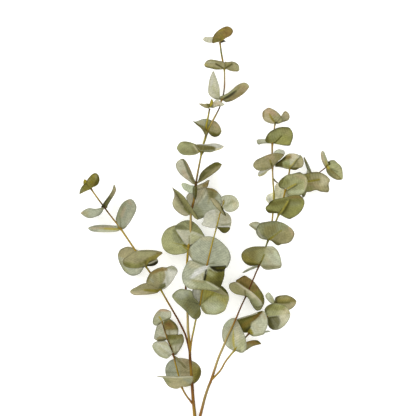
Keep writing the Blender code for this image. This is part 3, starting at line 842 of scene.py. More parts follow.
MAIN_STEM_LEAVES = (
    Leaf((189, 246), 40, 42, pitch=-8, left=8, right=-12, curl=6, tones=(LIME, LIME), tip=(161.3, 241),
        rib=0.5,
        rims=(at(186.5, 252.5, 181, 254, 174.5, 254.8, 168, 253, 163.3, 248.5), at(187, 238, 183, 230,
        177, 225.3, 170.5, 226.8, 165.3, 230.3, 162.3, 235.5)),
        # painted shadow: the first two patches, a grey-green triangle with a dark olive edge, are shade on
        # the disc
        patches=(Patch(at(173.5, 230, 183.5, 244, 179, 245, 175.5, 242, 172.5, 236), SAGE, 0.9, blur=1.4),
        Patch(at(173.8, 230, 182, 241), DARK_OLIVE, 0.8), Patch(at(168, 229, 173, 226.5), TAUPE, 0.7, 1.5,
        2), Patch(at(165, 249, 184, 249), GREEN, 0.35, 2, 3), Patch(at(183.3, 245.5, 187.3, 249.8),
        STEM_OLIVE, 0.9, 1), Patch(at(184.5, 245, 188, 246.5), INK, 0.9, 1))),
    Leaf((189, 246), 37, 44, pitch=24, bend=-70, left=8, right=5, curl=4, tones=(SAGE, SAGE),
        tip=(188, 220.2),
        rims=(at(184.5, 243, 180, 236.2, 175.8, 229.8, 175, 226.6, 178.5, 223.4, 183, 221), at(192.5, 249,
        198, 244.5, 203.5, 240.5, 205, 236.8, 202.6, 232, 199.3, 227.3, 195.5, 223.5, 192, 221.2)),
        # painted light and shade on the cupped blade: the fern band along its back rim is shade, and the
        # stone area with its bloom and pale lines in front is where it catches the light
        patches=(Patch(at(192, 222, 196, 225, 204, 235.5, 196.5, 233, 192, 231), GREEN, 0.5),
        Patch(at(176, 226, 182, 225, 189, 229.5, 177, 229.5), FERN, 0.8), Patch(at(177, 230.3, 190, 231,
        197, 233.3, 204.5, 236.5, 200, 242, 189, 246, 184.5, 243.5, 180, 236.5), STONE, 1, blur=0.6),
        Patch(at(191, 233, 204, 238, 201, 243, 191, 244), LIME, 0.7, blur=2), Patch(at(176.5, 230.5,
        184.5, 243), BLOOM, 0.9, 0.4, 0.6), Patch(at(177, 230.3, 189, 230.8, 203, 236), PALE, 0.5, 0.3),
        Patch(at(189.3, 236, 189.3, 243), DARK_OLIVE, 0.8, 0.6), Patch(at(195.5, 242.5, 199.5, 240.5),
        TAUPE, 0.6, 0.8, 1.5), Patch(at(190, 245.5, 194, 244.5), INK, 0.9, 0.8))),
    Leaf((191.5, 213), 47, 42, pitch=8, bend=-10, left=48, right=66, curl=10, point=0.4,
        tones=(CREAM, LIME), tip=(172.2, 187.3), pointed=True, spine=at(185, 208, 179, 198), rib=0.5,
        rims=(at(187, 216, 183, 215.2, 179, 212.8, 175, 209, 172.9, 204.5, 173.2, 200.5, 174.8, 197,
        174.3, 191.8), at(195, 218, 198.6, 219.8, 198, 216.5, 194, 210.5, 190, 205, 187.5, 201, 184, 196.5,
        179.5, 192.3, 175.5, 189.8)),
        patches=(Patch(at(173, 189, 177, 191, 185, 198, 188, 204, 184, 206, 179, 201, 175.8, 195), OLIVE,
        0.6, blur=2), Patch(at(174, 204, 177, 199, 182, 206, 178, 210), LIME, 0.5, blur=2),
        Patch(at(179, 192.3, 184, 196.5, 188, 202.5), DARK_OLIVE, 0.55), Patch(at(187, 203, 193, 209,
        199, 219, 196, 219, 190, 213, 185.5, 207), OLIVE, 0.6), Patch(at(194, 211, 198, 217.5), MOSS, 0.6),
        Patch(at(182, 208, 188, 212), LIME, 0.6, 1, 1.5), Patch(at(184.5, 208.5, 190, 214.8), FRESH, 0.95,
        0.8))),
    Leaf((191.5, 213), 46, 44, pitch=-12, left=5, right=8, curl=10, tones=(STONE, GREY), tip=(212, 188.2),
        rims=(at(189.5, 205, 187, 200, 186.3, 196.5, 188.5, 193.5, 192, 191, 197, 189.5, 204, 187.6),
        at(196, 217.5, 199.5, 219, 204, 217.5, 210, 217, 217, 212, 221.5, 205, 222, 198, 219.3, 193.5,
        216, 190.2)),
        patches=(Patch(at(197, 191, 205, 188.5, 202, 196, 197, 198), BEIGE, 0.8, blur=2),
        Patch(at(206.5, 189.5, 201, 199, 195, 206.5), FERN, 0.6, 0.6, 1.3), Patch(at(207, 188.3, 213, 189,
        217, 191.5, 217, 195, 214, 199, 209.5, 199, 207.5, 193), OLIVE, 0.85, blur=1.5),
        Patch(at(210.5, 192, 213, 192, 213, 198, 210, 198), DARK_OLIVE, 0.5), Patch(at(206, 187.8,
        212, 188.8, 218, 192.3), BRONZE, 0.8, 0.7), Patch(at(209.3, 198, 208.5, 203), TAUPE, 0.8, 0.8, 1.5),
        Patch(at(192, 207, 196.5, 205, 202, 211, 203.5, 217.5, 199, 219, 195, 214), SAGE, 0.8, blur=2),
        Patch(at(188, 195, 190.5, 203), BEIGE, 0.5, 1, 2), Patch(at(198, 217, 203, 216.5), MOSS, 0.6,
        0.8))),
    Leaf((196, 184), 42, 40, pitch=10, left=54, right=-76, curl=6, skew=0.15, tones=(STONE, KHAKI),
        tip=(182, 158.9), spine=at(191.5, 179, 188, 173, 185, 165),
        rims=(at(192.5, 184, 190, 181.8, 185.5, 178.6, 181, 175, 178, 171, 176.2, 167, 176.3, 164,
        178.5, 160.9), at(195, 181, 193.2, 177, 191, 171, 189, 166.5, 187, 162.8, 185, 160.2)),
        patches=(Patch(at(183.5, 172, 187, 178), ROSE, 0.5, 1.8, 2), Patch(at(183.5, 160.5, 185.5, 166,
        187.5, 172, 191, 178), FERN, 0.9, 0.7), Patch(at(187.5, 164, 191, 171, 194, 179), BRONZE, 0.7, 1.2),
        Patch(at(181, 159.3, 184.5, 160.5), FERN, 0.8, 0.7), Patch(at(191, 178, 195, 184), OLIVE, 0.9,
        1.5))),
    # painted shade: its dark olive tones and moss patch are the shaded underside of the blade
    Leaf((196, 184), 46, 40, pitch=5, left=-56, right=84, curl=6, tones=(DARK_OLIVE, OLIVE),
        tip=(221.8, 164.4), pointed=True, spine=at(206, 175, 213, 169),
        rims=(at(198.5, 180.5, 199.5, 176.2, 201, 173, 203.5, 170, 207, 167, 211, 164.4, 214.5, 162.6,
        218, 162.2), at(200, 182.3, 204, 180.2, 208, 177.7, 212, 175, 216, 172, 219.5, 168.6)),
        patches=(Patch(at(200, 181, 201, 175, 206, 169, 214, 163.5, 220, 164.5, 214, 166, 206, 173), MOSS,
        0.45), Patch(at(209, 176, 219, 169, 221, 166, 216, 168), TAUPE, 0.8, blur=1.5), Patch(at(206, 171,
        210, 170.5), TAUPE, 0.4, 1, 1.5), Patch(at(197.5, 181, 199, 182), ROSE, 0.6))),
    Leaf((196, 186), 22, 18, pitch=-20, left=20, right=-10, tones=(MINT, MINT), tip=(181.4, 184.6),
        rim_shade=0.2,
        rims=(at(193.5, 193, 190, 193.2, 186.8, 191.3, 183.5, 188.9), at(191, 185.5, 187.5, 184,
        184.5, 182.9, 182.4, 183))),
    Leaf((196, 186), 21, 12, pitch=12, left=60, right=-55, tones=(BEIGE, BEIGE), tip=(209.5, 180.3),
        pointed=True,
        rims=(at(197.3, 187.3, 200.5, 185, 204.5, 182.6, 207.6, 180.3), at(197, 190, 201, 189, 205, 187.8,
        207.6, 187, 208.6, 183.5)),
        patches=(Patch(at(197.5, 188.5, 200, 186.5), CREAM, 0.9, 1, 1.5), Patch(at(204.5, 185.5,
        207.5, 184), BRONZE, 0.9, 1.8, 1.5), Patch(at(208, 184, 209, 181), RUSSET, 0.6))),
    Leaf((195.5, 184.5), 26, 22, pitch=12, left=20, right=20, tones=(DARK_OLIVE, FERN), tip=(195.2, 199.5),
        rims=(at(197, 188, 197, 193, 196.4, 197), at(193, 188, 192.9, 193, 194, 197)),
        patches=(Patch(at(196.4, 187, 196.2, 197), MOSS, 0.7),)),
    Leaf((201.5, 152), 36, 36, pitch=5, left=-68, right=56, curl=6, tones=(LIME, LIME), tip=(177, 148),
        rims=(at(199.5, 151.8, 197.3, 153.6, 193, 154.7, 188, 155, 183, 154.5, 179.3, 152.3), at(199.5, 148,
        197, 145.3, 193, 143.7, 188, 142.3, 183, 142, 179.6, 143.5)),
        # painted highlight: the cream line near the base is light on a fold
        patches=(Patch(at(179, 145, 183, 144, 192, 145.5), LIME, 0.5, 1, 2), Patch(at(192, 148, 194.5, 147,
        198, 152, 193.5, 153), OLIVE, 0.6), Patch(at(193.6, 145.3, 198.2, 151.6), CREAM, 0.95, 0.7, 0.7),
        Patch(at(195.6, 144.9, 200.9, 151.6), DARK_OLIVE, 1, 0.9), Patch(at(184, 142.8, 194, 144.3), GREEN,
        0.7, 0.7), Patch(at(183, 151, 190, 152), MUSTARD, 0.4, 1.5, 2), Patch(at(199, 150.8, 202, 152),
        STEM_OLIVE, 0.8, 1.2))),
    Leaf((201.5, 152), 33, 34, pitch=10, left=70, right=-78, curl=6, tones=(BLOOM, CHAFF), tip=(224, 146.8),
        pointed=True, rim_shade=0.25,
        rims=(at(198.5, 149, 196, 145.3, 200, 144.7, 206, 144.9, 212, 144.1, 217, 144.2, 221.5, 145.5),
        at(206, 151.9, 211, 152, 214.5, 150.8, 218.5, 149.8, 222, 148.4)),
        patches=(Patch(at(196, 145.2, 204, 146, 212, 146.7, 215, 147.8, 214.8, 149.6, 206, 150, 201, 150.8),
        OLIVE, 1, blur=0.6), Patch(at(205, 147.5, 213.5, 148.3), DARK_OLIVE, 0.7, 0.8), Patch(at(201, 150.8,
        208, 150.3, 214.5, 150.4, 211, 152.3, 203, 152.3), SAGE, 1, blur=0.6), Patch(at(200, 146.5,
        206, 146.2), TAUPE, 0.5))),
    Leaf((207.5, 131), 27, 26, pitch=8, left=84, right=-48, point=0.4, tones=(OLIVE, GREY),
        tip=(193, 121.2), pointed=True, spine=at(203, 128),
        rims=(at(206.8, 135.5, 205, 135, 203, 131.3, 200, 127.8, 196.5, 124.8), at(211, 127, 212.5, 121.5,
        208, 118.8, 203, 118.9, 199.5, 120.3, 197, 122.6)),
        patches=(Patch(at(198, 122.5, 203, 121, 204.5, 125), BEIGE, 0.5, blur=1.5), Patch(at(208, 120,
        211.5, 121, 209.5, 128, 207, 128), SAGE, 0.8), Patch(at(196.5, 124, 203, 126.3, 206.5, 128,
        206.5, 133, 204.5, 133, 201, 128.5), OLIVE, 0.9), Patch(at(194, 122, 200, 127.3, 204.5, 133), MOSS,
        0.6, 0.6))),
    Leaf((207.5, 131), 23, 26, pitch=-30, left=5, right=10, curl=8, tones=(TAUPE, TAUPE),
        tip=(221.3, 130.5),
        rims=(at(210, 126, 212, 121, 214.5, 120.8, 217.2, 122.6, 219.8, 126), at(208.8, 133, 211, 135.4,
        214.5, 137, 218.2, 136, 220.5, 133.5)),
        patches=(Patch(at(209, 131.5, 213, 132.5, 217, 134, 220.5, 131.5, 219, 136.5, 214, 137, 210, 135),
        DARK_OLIVE, 1, blur=1.5), Patch(at(213, 123, 217.5, 126.5), ROSE, 0.5, 1, 1.5), Patch(at(210.5, 134,
        214, 136, 219, 135), MOSS, 0.6, 0.9))),
    Leaf((221, 100), 43, 34, pitch=6, left=-44, right=80, curl=6, skew=-0.2, point=0.3,
        tones=(STONE, STONE), rim_shade=0.25, tip=(213.2, 71.5),
        rims=(at(218, 99.6, 214.5, 98.4, 211, 96.3, 208.6, 93.2, 208.2, 89, 208.8, 83, 210.2, 77),
        at(219.3, 97, 219.5, 93, 219.2, 89, 218, 84, 216.3, 79, 214.9, 75)),
        patches=(Patch(at(212.5, 75, 211.5, 85), BLOOM, 0.8, 1, 1.5), Patch(at(213, 86, 217, 95), LIME, 0.6,
        1, 2), Patch(at(215.8, 77, 218.6, 86), GREY, 0.9, 0.5), Patch(at(218.8, 90, 218.6, 96), LIME, 0.7,
        0.7), Patch(at(214.5, 98.3, 221, 98.6), FERN, 0.95, 0.7))),
    Leaf((221, 100), 45, 34, pitch=4, bend=-6, left=67, right=-70, curl=4, skew=0.3, tones=(LIME, TAUPE),
        tip=(249.2, 86.4), spine=at(228, 97, 234, 93, 240, 89),
        rims=(at(219, 97.3, 224, 95.4, 228, 93.5, 232, 90.5, 236, 87, 240, 84.4, 244, 83.1, 247.2, 84),
        at(223.5, 100.3, 226, 101.9, 229, 101.3, 233, 99.8, 237, 97.5, 241, 95, 245, 92, 248, 88.7)),
        patches=(Patch(at(239, 85.5, 244, 84, 248, 86, 246, 90, 239, 91), ROSE, 0.45, blur=2),
        Patch(at(230, 91.5, 238, 86), KHAKI, 0.7, 1, 1.5), Patch(at(236, 88.5, 243.5, 86.5), BRONZE, 0.45,
        2, 2), Patch(at(231, 98, 241, 93), BRONZE, 0.6, 2.2, 2), Patch(at(222, 99.6, 228, 97.3, 232, 94.5,
        236, 90.8), MOSS, 0.95, 0.7), Patch(at(223, 99.2, 228, 97, 232, 94.2, 235, 91.5), INK, 0.7, 0.5),
        Patch(at(236, 90.8, 239, 88), DARK_OLIVE, 0.7), Patch(at(224.5, 101, 231, 99.8), MOSS, 0.7, 0.8),
        Patch(at(220.5, 99, 223, 98), BRONZE, 0.8, 0.8))),
    Leaf((224.3, 69), 30, 24, pitch=25, bend=-40, left=40, right=10, curl=6, tones=(KHAKI, KHAKI),
        tip=(204.3, 64.8), spine=at(218, 65.5, 211, 63.5),
        rims=(at(222, 69.2, 219.5, 69.8, 215, 70, 211, 69, 207, 68, 204.9, 66.6), at(225, 64, 223, 61.7,
        219, 61.1, 214, 60.1, 210.5, 59.6, 207.3, 60.6, 205.2, 62.6)),
        patches=(Patch(at(208, 62, 214, 62), PALE, 0.5, 1, 1.5), Patch(at(207, 60.6, 217, 61.2), OLIVE, 0.8,
        0.6), Patch(at(219, 63, 224, 64.5), TAUPE, 0.8, 1.5, 1.5), Patch(at(205, 65, 207, 65.3), YELLOW,
        0.5, 0.8), Patch(at(205, 67, 212, 68.3, 219, 69.2), DARK_OLIVE, 0.9, 0.8), Patch(at(216, 64,
        220, 66.2, 224, 68.9), MOSS, 0.95, 0.7))),
    Leaf((224.3, 69), 22, 19, pitch=22, bend=-30, left=10, right=40, curl=6, tones=(KHAKI, KHAKI),
        tip=(239.2, 68.5),
        rims=(at(225.2, 64.5, 224.5, 61.8, 228, 62, 232, 61.6, 236, 62.8, 238.6, 65.2), at(227, 69.2,
        229.5, 70.7, 233, 71.6, 237, 71.8, 239, 70.7)),
        patches=(Patch(at(225, 63.5, 231, 64, 229, 66, 225, 67), OLIVE, 0.8), Patch(at(224.8, 68.6,
        228.5, 66.4, 232, 64.2), MOSS, 0.95, 0.7), Patch(at(229, 70, 237, 71), OLIVE, 0.7, 0.6),
        Patch(at(236.5, 64, 238, 70), SAGE, 0.6, 0.8), Patch(at(231, 68.5, 236, 68.5), SAGE, 0.4))),
    Leaf((220, 42), 25, 27, pitch=12, left=0, right=55, curl=8, notch=0.25, tones=(BRONZE, BRONZE),
        tip=(227, 26.4),
        rims=(at(217, 41.4, 214, 42.6, 212.4, 42.8, 212.2, 40, 213.5, 36, 216, 32.3, 219.5, 29.5,
        223, 27.4), at(223.5, 39.9, 226.5, 38.1, 230, 36.6, 232.3, 34, 232.9, 31.4, 231.7, 29,
        229.6, 27.2)),
        patches=(Patch(at(216, 35, 220, 34), OLIVE, 0.5, 2.5, 2.5), Patch(at(213, 42, 213.5, 39, 217, 38.5,
        222, 39.5, 217, 41.5), DARK_OLIVE, 0.8), Patch(at(221, 36, 223, 39.5), STEM_OLIVE, 0.6, 1, 1.5),
        Patch(at(227, 33.5, 230, 35), RUSSET, 0.45, 1.5, 2), Patch(at(219, 31, 224, 29.5), YELLOW, 0.35,
        0.6))),
    Leaf((220, 42), 25, 16, pitch=-35, left=0, right=0, tones=(STONE, STONE), tip=(203, 38.3),
        rim_shade=0.25,
        rims=(at(216, 41.2, 212, 41.9, 208, 41.4, 204.5, 40), at(216, 36, 212, 36.1, 208, 35.9,
        204.8, 35.9))),
    Leaf((220, 43), 8, 5, pitch=30, left=20, right=20, tones=(INK, INK), tip=(225.9, 41.3), pointed=True,
        rims=(at(222.6, 40.4, 224.4, 40.4), at(222.8, 41.4, 224.4, 41.8))),
)
MAIN_STEM = Shoot(
    name="main_stem",
    slot="woody_stem",
    forked=False,
    route=(
        (195.8, 470, 2.6, 5.2, OCHRE), (195.6, 452, 2.9, 4.8, OCHRE), (195.5, 434, 3.6, 4.9, OCHRE),
        (194.5, 416, 5, 4.5, OCHRE), (193, 400, 7, 4.3, RUST), (192, 385, 9, 4.1, BROWN),
        (191, 371, 11.5, 3.8, OCHRE), (190, 358, 14, 3.7, BROWN), (189.5, 345, 16, 3.5, OCHRE),
        (188, 330, 18, 3.3, HONEY), (187.5, 314, 19, 3, HONEY), (185.8, 290, 21, 2.7, BROWN),
        (186.6, 268, 23, 2.9, GOLD), (188.6, 247, 24.5, 3.1, GOLD), (189.6, 239, 25, 2.8, STRAW),
        (190.6, 231, 25.5, 3.2, HONEY), (190.9, 215, 26, 3.2, HONEY), (192, 208, 26.2, 2.9, BROWN),
        (194, 200, 26, 2.6, OCHRE), (196, 184, 26, 2.3, DARK), (197.9, 172, 25.5, 2.4, TAN),
        (201, 156, 25, 2.2, STRAW), (201.8, 152.8, 25, 3.6, REED), (202.4, 149.5, 24.8, 2.4, STRAW),
        (203.8, 143, 24.5, 2.6, STRAW), (205, 139.5, 24.3, 2.7, STRAW), (206.5, 134, 24.1, 3.2, DARK),
        (208.2, 129.6, 24, 2.6, STRAW), (213.2, 120, 23, 2.4, HONEY), (219.6, 107.5, 22.4, 1.6, DARK),
        (221.5, 100, 22, 1.9, OCHRE), (223.4, 94.5, 21.8, 1.5, DARK), (224.4, 87, 21.5, 1.7, RUST),
        (224.6, 79, 21, 1.5, TAN), (224.3, 69, 20, 1.6, STRAW), (222.8, 61, 19.6, 2.2, OCHRE),
        (221.2, 52, 19, 2.3, REED), (220, 42, 18, 1.4, OCHRE),
    ),
    leaves=MAIN_STEM_LEAVES,
)

TALL_SIDE_SPRIG_LEAVES = (
    Leaf((210, 108), 17, 13, pitch=8, left=70, right=-70, tones=(TAUPE, TAUPE), tip=(199, 104.2),
        pointed=True,
        rims=(at(208, 109, 205, 108.4, 202, 106.8, 200, 105.3), at(211, 104.8, 207.5, 103.9, 204, 104.2,
        201.5, 104)),
        patches=(Patch(at(200, 104.5, 205, 106), BEIGE, 0.7, 0.8, 1.5), Patch(at(207, 104.5, 211, 104.5,
        210, 108.5, 208, 107.5), DARK_OLIVE, 0.9))),
    Leaf((210, 108), 21, 15, pitch=8, left=-60, right=60, tones=(STONE, STONE), tip=(224.4, 105.3),
        pointed=True, rim_shade=0.3,
        rims=(at(212, 104.5, 214.5, 101.5, 217, 99.9, 220, 102, 223, 103.8), at(213, 108.6, 216, 107.6,
        218.5, 107, 221.7, 106.6)),
        patches=(Patch(at(211.5, 105, 212.5, 108), MOSS, 0.8, 1.2), Patch(at(214.5, 104.5, 219, 104), ROSE,
        0.5, 1.5, 1.5), Patch(at(213, 108, 218, 107), OLIVE, 0.8), Patch(at(219, 106, 219.7, 108), MOSS,
        0.7))),
    Leaf((210, 108), 13, 5, pitch=12, left=20, right=20, tones=(YELLOW, YELLOW), tip=(211.8, 99.2),
        pointed=True,
        rims=(at(209.6, 104.5, 210.6, 101.3), at(213, 104.5, 212.9, 101.3))),
)
TALL_SIDE_SPRIG = Shoot(
    name="tall_side_sprig",
    slot="green_stem",
    route=(
        (207.2, 129.6, 25.4, 1.4, OCHRE), (206.3, 126.5, 29, 2.4, STRAW), (208.2, 117, 32, 2.2, STRAW),
        (209.6, 109, 34, 1.9, DARK),
    ),
    leaves=TALL_SIDE_SPRIG_LEAVES,
)

LEFT_SHOOT_LEAVES = (
    Leaf((90.5, 188.5), 23, 17, pitch=10, left=45, right=-40, tones=(MUSTARD, MUSTARD), tip=(95, 173),
        rims=(at(88, 187, 86.2, 183.5, 87.2, 180, 89.6, 177, 92, 174.4), at(92.5, 186.9, 95, 186, 97.6, 184,
        98.9, 181, 99, 178, 98.3, 175.3, 97, 173.7)),
        patches=(Patch(at(95.5, 176, 96.5, 178.5), KHAKI, 0.6, 1.2, 1.5), Patch(at(92.5, 175.5, 94, 176.5),
        YELLOW, 0.4, 0.8), Patch(at(91, 181.5, 92, 183), STEM_OLIVE, 0.7, 0.8), Patch(at(92, 184.5,
        95.5, 182.5), RUSSET, 0.5, 0.8), Patch(at(88, 181, 89.5, 179.5), ROSE, 0.35, 0.5),
        Patch(at(98, 175.5, 98.6, 180, 97.3, 184, 93.5, 186.4), MOSS, 0.7))),
    Leaf((90.5, 188.5), 18, 17, pitch=10, left=-76, right=36, tones=(MUSTARD, MUSTARD), tip=(79.3, 194),
        pointed=True,
        rims=(at(88, 189.9, 85.5, 190.4, 83, 191.7, 81, 193.2), at(88, 184, 85.3, 183.3, 83, 185.3, 81, 188,
        79.7, 191)),
        patches=(Patch(at(79.5, 191.5, 81.5, 188.5), SAGE, 0.9, 1), Patch(at(79.6, 193.2, 81.3, 192.3),
        FERN, 0.9), Patch(at(82, 191, 84, 190.8), TAUPE, 0.8), Patch(at(85, 184.5, 87, 186), OLIVE, 0.5))),
    Leaf((90.5, 188.5), 14, 6, pitch=20, left=30, right=30, tones=(YELLOW, YELLOW), tip=(84.2, 179.2),
        pointed=True,
        rims=(at(84, 185.2, 83.2, 182), at(87.5, 183.5, 86.6, 180.2))),
    Leaf((104, 207), 35, 28, pitch=0, left=46, right=-74, curl=6, skew=0.2, tones=(GREY, GREY),
        tip=(80.3, 213.2), pointed=True,
        rims=(at(103.2, 210, 101.5, 213, 99.3, 215.3, 95, 217, 91, 218, 87, 217.5, 83.5, 215.7),
        at(101, 208.2, 97, 209, 92, 208.6, 88.5, 208.1, 85, 209.2, 82, 211.3)),
        patches=(Patch(at(81, 213, 85, 210.5, 88, 212, 88, 217, 84, 215.5), TAUPE, 0.6, blur=2),
        Patch(at(80.8, 213.2, 82.5, 213), ROSE, 0.6, 0.8), Patch(at(98.5, 215, 102.5, 210.5), SHADOW_GREY, 0.7,
        0.8), Patch(at(89, 209.3, 99, 209.5), SHADOW_GREY, 0.5, 0.6), Patch(at(101.5, 209, 103.5, 208.5), OLIVE,
        0.9, 0.8))),
    Leaf((104, 207), 35, 28, pitch=0, left=85, right=-82, curl=6, tones=(DARK_OLIVE, DARK_OLIVE),
        tip=(113.8, 184.3), spine=at(107, 203, 111, 196, 114, 190),
        rims=(at(101.2, 207.6, 102.5, 205, 105, 201.5, 108.5, 197, 111, 193, 112.8, 189), at(106.6, 208.2,
        107, 205.5, 109.5, 201, 112, 197, 114.5, 193, 115.5, 189)),
        patches=(Patch(at(105.5, 206, 109, 199.5), GREEN, 0.6, 0.6), Patch(at(102.3, 205.8, 106, 200.8,
        109, 197), MOSS, 0.8, 0.4), Patch(at(107, 205, 109.8, 200.5, 111.5, 197.5), MOSS, 0.9, 0.5),
        Patch(at(112, 196, 114, 190, 114, 186), TAUPE, 0.95, 1.6, 2), Patch(at(113.8, 194, 114.6, 189),
        ROSE, 0.5, 0.5), Patch(at(101.8, 207, 104, 205.5), INK, 0.9, 0.9))),
    Leaf((120.5, 228.5), 45, 36, pitch=10, left=62, right=-54, curl=8, skew=0.2, tones=(GREY, GREY),
        tip=(130, 199.1),
        rims=(at(118, 224.5, 116.2, 220, 117, 216, 119, 210.5, 121.5, 205.5, 125, 201.5), at(123.8, 228.8,
        127, 225.5, 130, 221.5, 132.5, 217, 135, 212, 136.2, 207, 135, 203, 133, 200)),
        patches=(Patch(at(117, 221, 118, 214, 122, 206, 127, 201), SAGE, 0.75, 1, 1.5), Patch(at(121.5, 216,
        124.5, 208), ROSE, 0.55, 1.2, 2), Patch(at(128.5, 200.5, 130.5, 203.5), ROSE, 0.5, 1.2, 2),
        Patch(at(126, 221, 131, 212, 134, 205), STONE, 0.6, 1.2, 2.5), Patch(at(126.5, 225, 130, 219.5),
        BLOOM, 0.6, 0.8, 1.5), Patch(at(120.3, 227, 120.2, 216), FERN, 0.75, 0.6), Patch(at(121, 229,
        124.5, 227.5), FERN, 0.8, 1, 1.5))),
    Leaf((120.5, 228.5), 47, 40, pitch=-4, left=76, right=-78, curl=6, tones=(PALE, GREY),
        tip=(87.7, 228.2),
        rims=(at(119, 230.6, 115, 231.6, 108, 231.9, 100, 231.9, 94, 231.5, 90, 230.4), at(119, 226,
        112, 225.6, 104, 225, 97, 225.2, 91, 226.3)),
        patches=(Patch(at(92, 228.5, 98, 228, 112, 227.3), ROSE, 0.6, 1, 1.2), Patch(at(119, 229.3,
        112, 229.4, 105, 228.8), YELLOW, 1, 0.9), Patch(at(105, 228.8, 100, 228.6), YELLOW, 0.5, 0.6),
        Patch(at(90, 230.4, 98, 230.9), SHADOW_GREY, 0.85, 0.6), Patch(at(98, 231.3, 116, 231.3), MINT, 0.5, 0.5),
        Patch(at(118, 228, 121, 228.5), DARK_OLIVE, 0.8, 0.9))),
    Leaf((145.5, 266), 46, 41, pitch=-41, bend=22, left=0, right=0, curl=4, tones=(GREY, KHAKI),
        tip=(117, 256.5),
        rims=(at(143.2, 268, 142.3, 270, 140, 273.2, 136.5, 275.2, 132, 276, 127.5, 274.6, 123.5, 271.5,
        120.5, 267, 118.2, 262), at(142, 258, 139, 252, 135, 249.2, 131, 247.6, 127, 247, 123, 248,
        119.6, 250, 117.8, 252.8)),
        patches=(Patch(at(118, 255, 121, 250.5, 128, 248.5, 133, 250, 126, 256, 121, 263), BEIGE, 0.4,
        blur=3), Patch(at(119, 262, 122, 268, 126, 273), OLIVE, 0.5, 0.8, 1.5), Patch(at(124, 268, 128, 272,
        124, 271), LIME, 0.6, blur=1.5), Patch(at(137, 270, 142, 268.5), STONE, 0.8, 1, 1.5))),
    Leaf((145.5, 266), 42, 56, pitch=58, left=-5, right=5, curl=22, tones=(KHAKI, KHAKI), tip=(148, 249.4),
        rims=(at(143, 266.6, 138, 268.1, 132, 268.1, 127, 267, 123.9, 264.6, 123.1, 261.4, 124.5, 258.4,
        128, 256, 132, 253.4, 136, 250.8, 141, 249.9), at(150, 266.2, 154.6, 265.4, 158.1, 262.6,
        158.3, 260, 157.3, 258, 160, 255.4, 163.2, 252.6, 161, 251, 155, 249.8)),
        patches=(Patch(at(140, 251, 150, 251, 158, 252, 148, 255, 138, 258), LIME, 0.4, blur=2.5),
        Patch(at(124, 262.5, 129, 262, 136, 264, 143, 262, 143, 266.5, 136, 268, 127, 267), GREEN, 0.9,
        blur=2), Patch(at(125.5, 263, 130, 265.5), DARK_OLIVE, 0.8, 1.3, 2), Patch(at(140.5, 262.5,
        141, 266.5), OLIVE, 0.7, 1.2, 1.5), Patch(at(144, 262, 150, 257, 158, 253.5, 161, 254, 156, 258.8,
        150, 261.5, 147, 265.5), STEM_OLIVE, 0.75, blur=1.2), Patch(at(143.5, 262, 148, 258), DARK_OLIVE,
        0.6, 1, 1.5), Patch(at(157.5, 252.3, 162.5, 252.6), BRONZE, 0.9, 0.9), Patch(at(141, 250.3,
        150, 250, 158, 250.8), FERN, 0.7), Patch(at(147, 265.8, 150, 261.5, 154, 260, 158.5, 259.5,
        158, 262.5, 155, 265.2, 149, 266), INK, 0.95, blur=0.8), Patch(at(145.5, 260, 146, 265), MOSS, 0.5,
        0.8), Patch(at(149, 263.4, 153, 262, 157.6, 259.3), STONE, 1, 0.45, 0.6))),
    Leaf((160.5, 289.5), 42, 46, pitch=38, left=15, right=22, curl=15, notch=0, tones=(KHAKI, BLOOM),
        tip=(163, 266.5), spine=at(163, 283, 166, 275),
        rims=(at(154, 286, 147, 283.5, 147.2, 279, 149, 275, 151, 272, 154, 269.8, 158, 267.7),
        at(164, 289.3, 168, 286.2, 172, 281.6, 176, 275, 177.9, 271.3, 177, 268, 174.5, 265.7, 171.5, 265.1,
        167.5, 267)),
        patches=(Patch(at(158, 272, 163, 271, 163, 281, 159, 280), LIME, 0.5, blur=2), Patch(at(150.5, 278,
        153, 281), GREY, 0.8, 1, 1.5), Patch(at(148, 280, 151, 274), OLIVE, 0.85, 1), Patch(at(153.5, 273.5,
        156, 278), FERN, 0.5, 0.8, 1.5), Patch(at(151, 272.8, 156, 268.8, 163, 266.8, 168, 267.2, 167, 270,
        160, 270.3, 154, 273), BRONZE, 0.9), Patch(at(157, 270, 163, 268.8), RUSSET, 0.4, 0.6),
        Patch(at(160.5, 273, 161, 282), GREEN, 0.6, 0.6, 1.2), Patch(at(169, 267, 173, 266, 176.5, 269),
        SAGE, 0.8, 1, 1.5), Patch(at(167, 271, 168, 283), GREY, 0.7, 1, 1.5), Patch(at(161, 284.5, 165, 283,
        165.8, 286, 161.5, 289.3, 158.5, 288), FERN, 1, blur=1), Patch(at(161, 288, 164.5, 286.5), MOSS,
        0.6, 0.8))),
    Leaf((160.5, 289.5), 43, 40, pitch=-5, left=66, right=-66, curl=10, tones=(BEIGE, KHAKI),
        tip=(129.8, 291.8),
        rims=(at(158, 292.2, 154, 293.4, 147, 294.1, 140, 294.6, 135, 294.9, 131.6, 293.9), at(158, 285.5,
        152, 283.2, 147, 283.4, 143, 284.2, 139, 285.8, 135.5, 287.8, 132, 289.4)),
        patches=(Patch(at(150, 285, 158, 287), TAUPE, 0.7, 1.5, 2), Patch(at(137, 288, 148, 287.5), KHAKI,
        0.7, 1.5, 2), Patch(at(131.5, 291.5, 136, 290), SAGE, 0.5, 1, 1.5), Patch(at(160.5, 290.3,
        157, 291.8, 150, 291.4, 144, 290.4), STEM_OLIVE, 0.95, 0.8), Patch(at(147, 293.8, 156, 292.9),
        TAUPE, 0.5))),
)
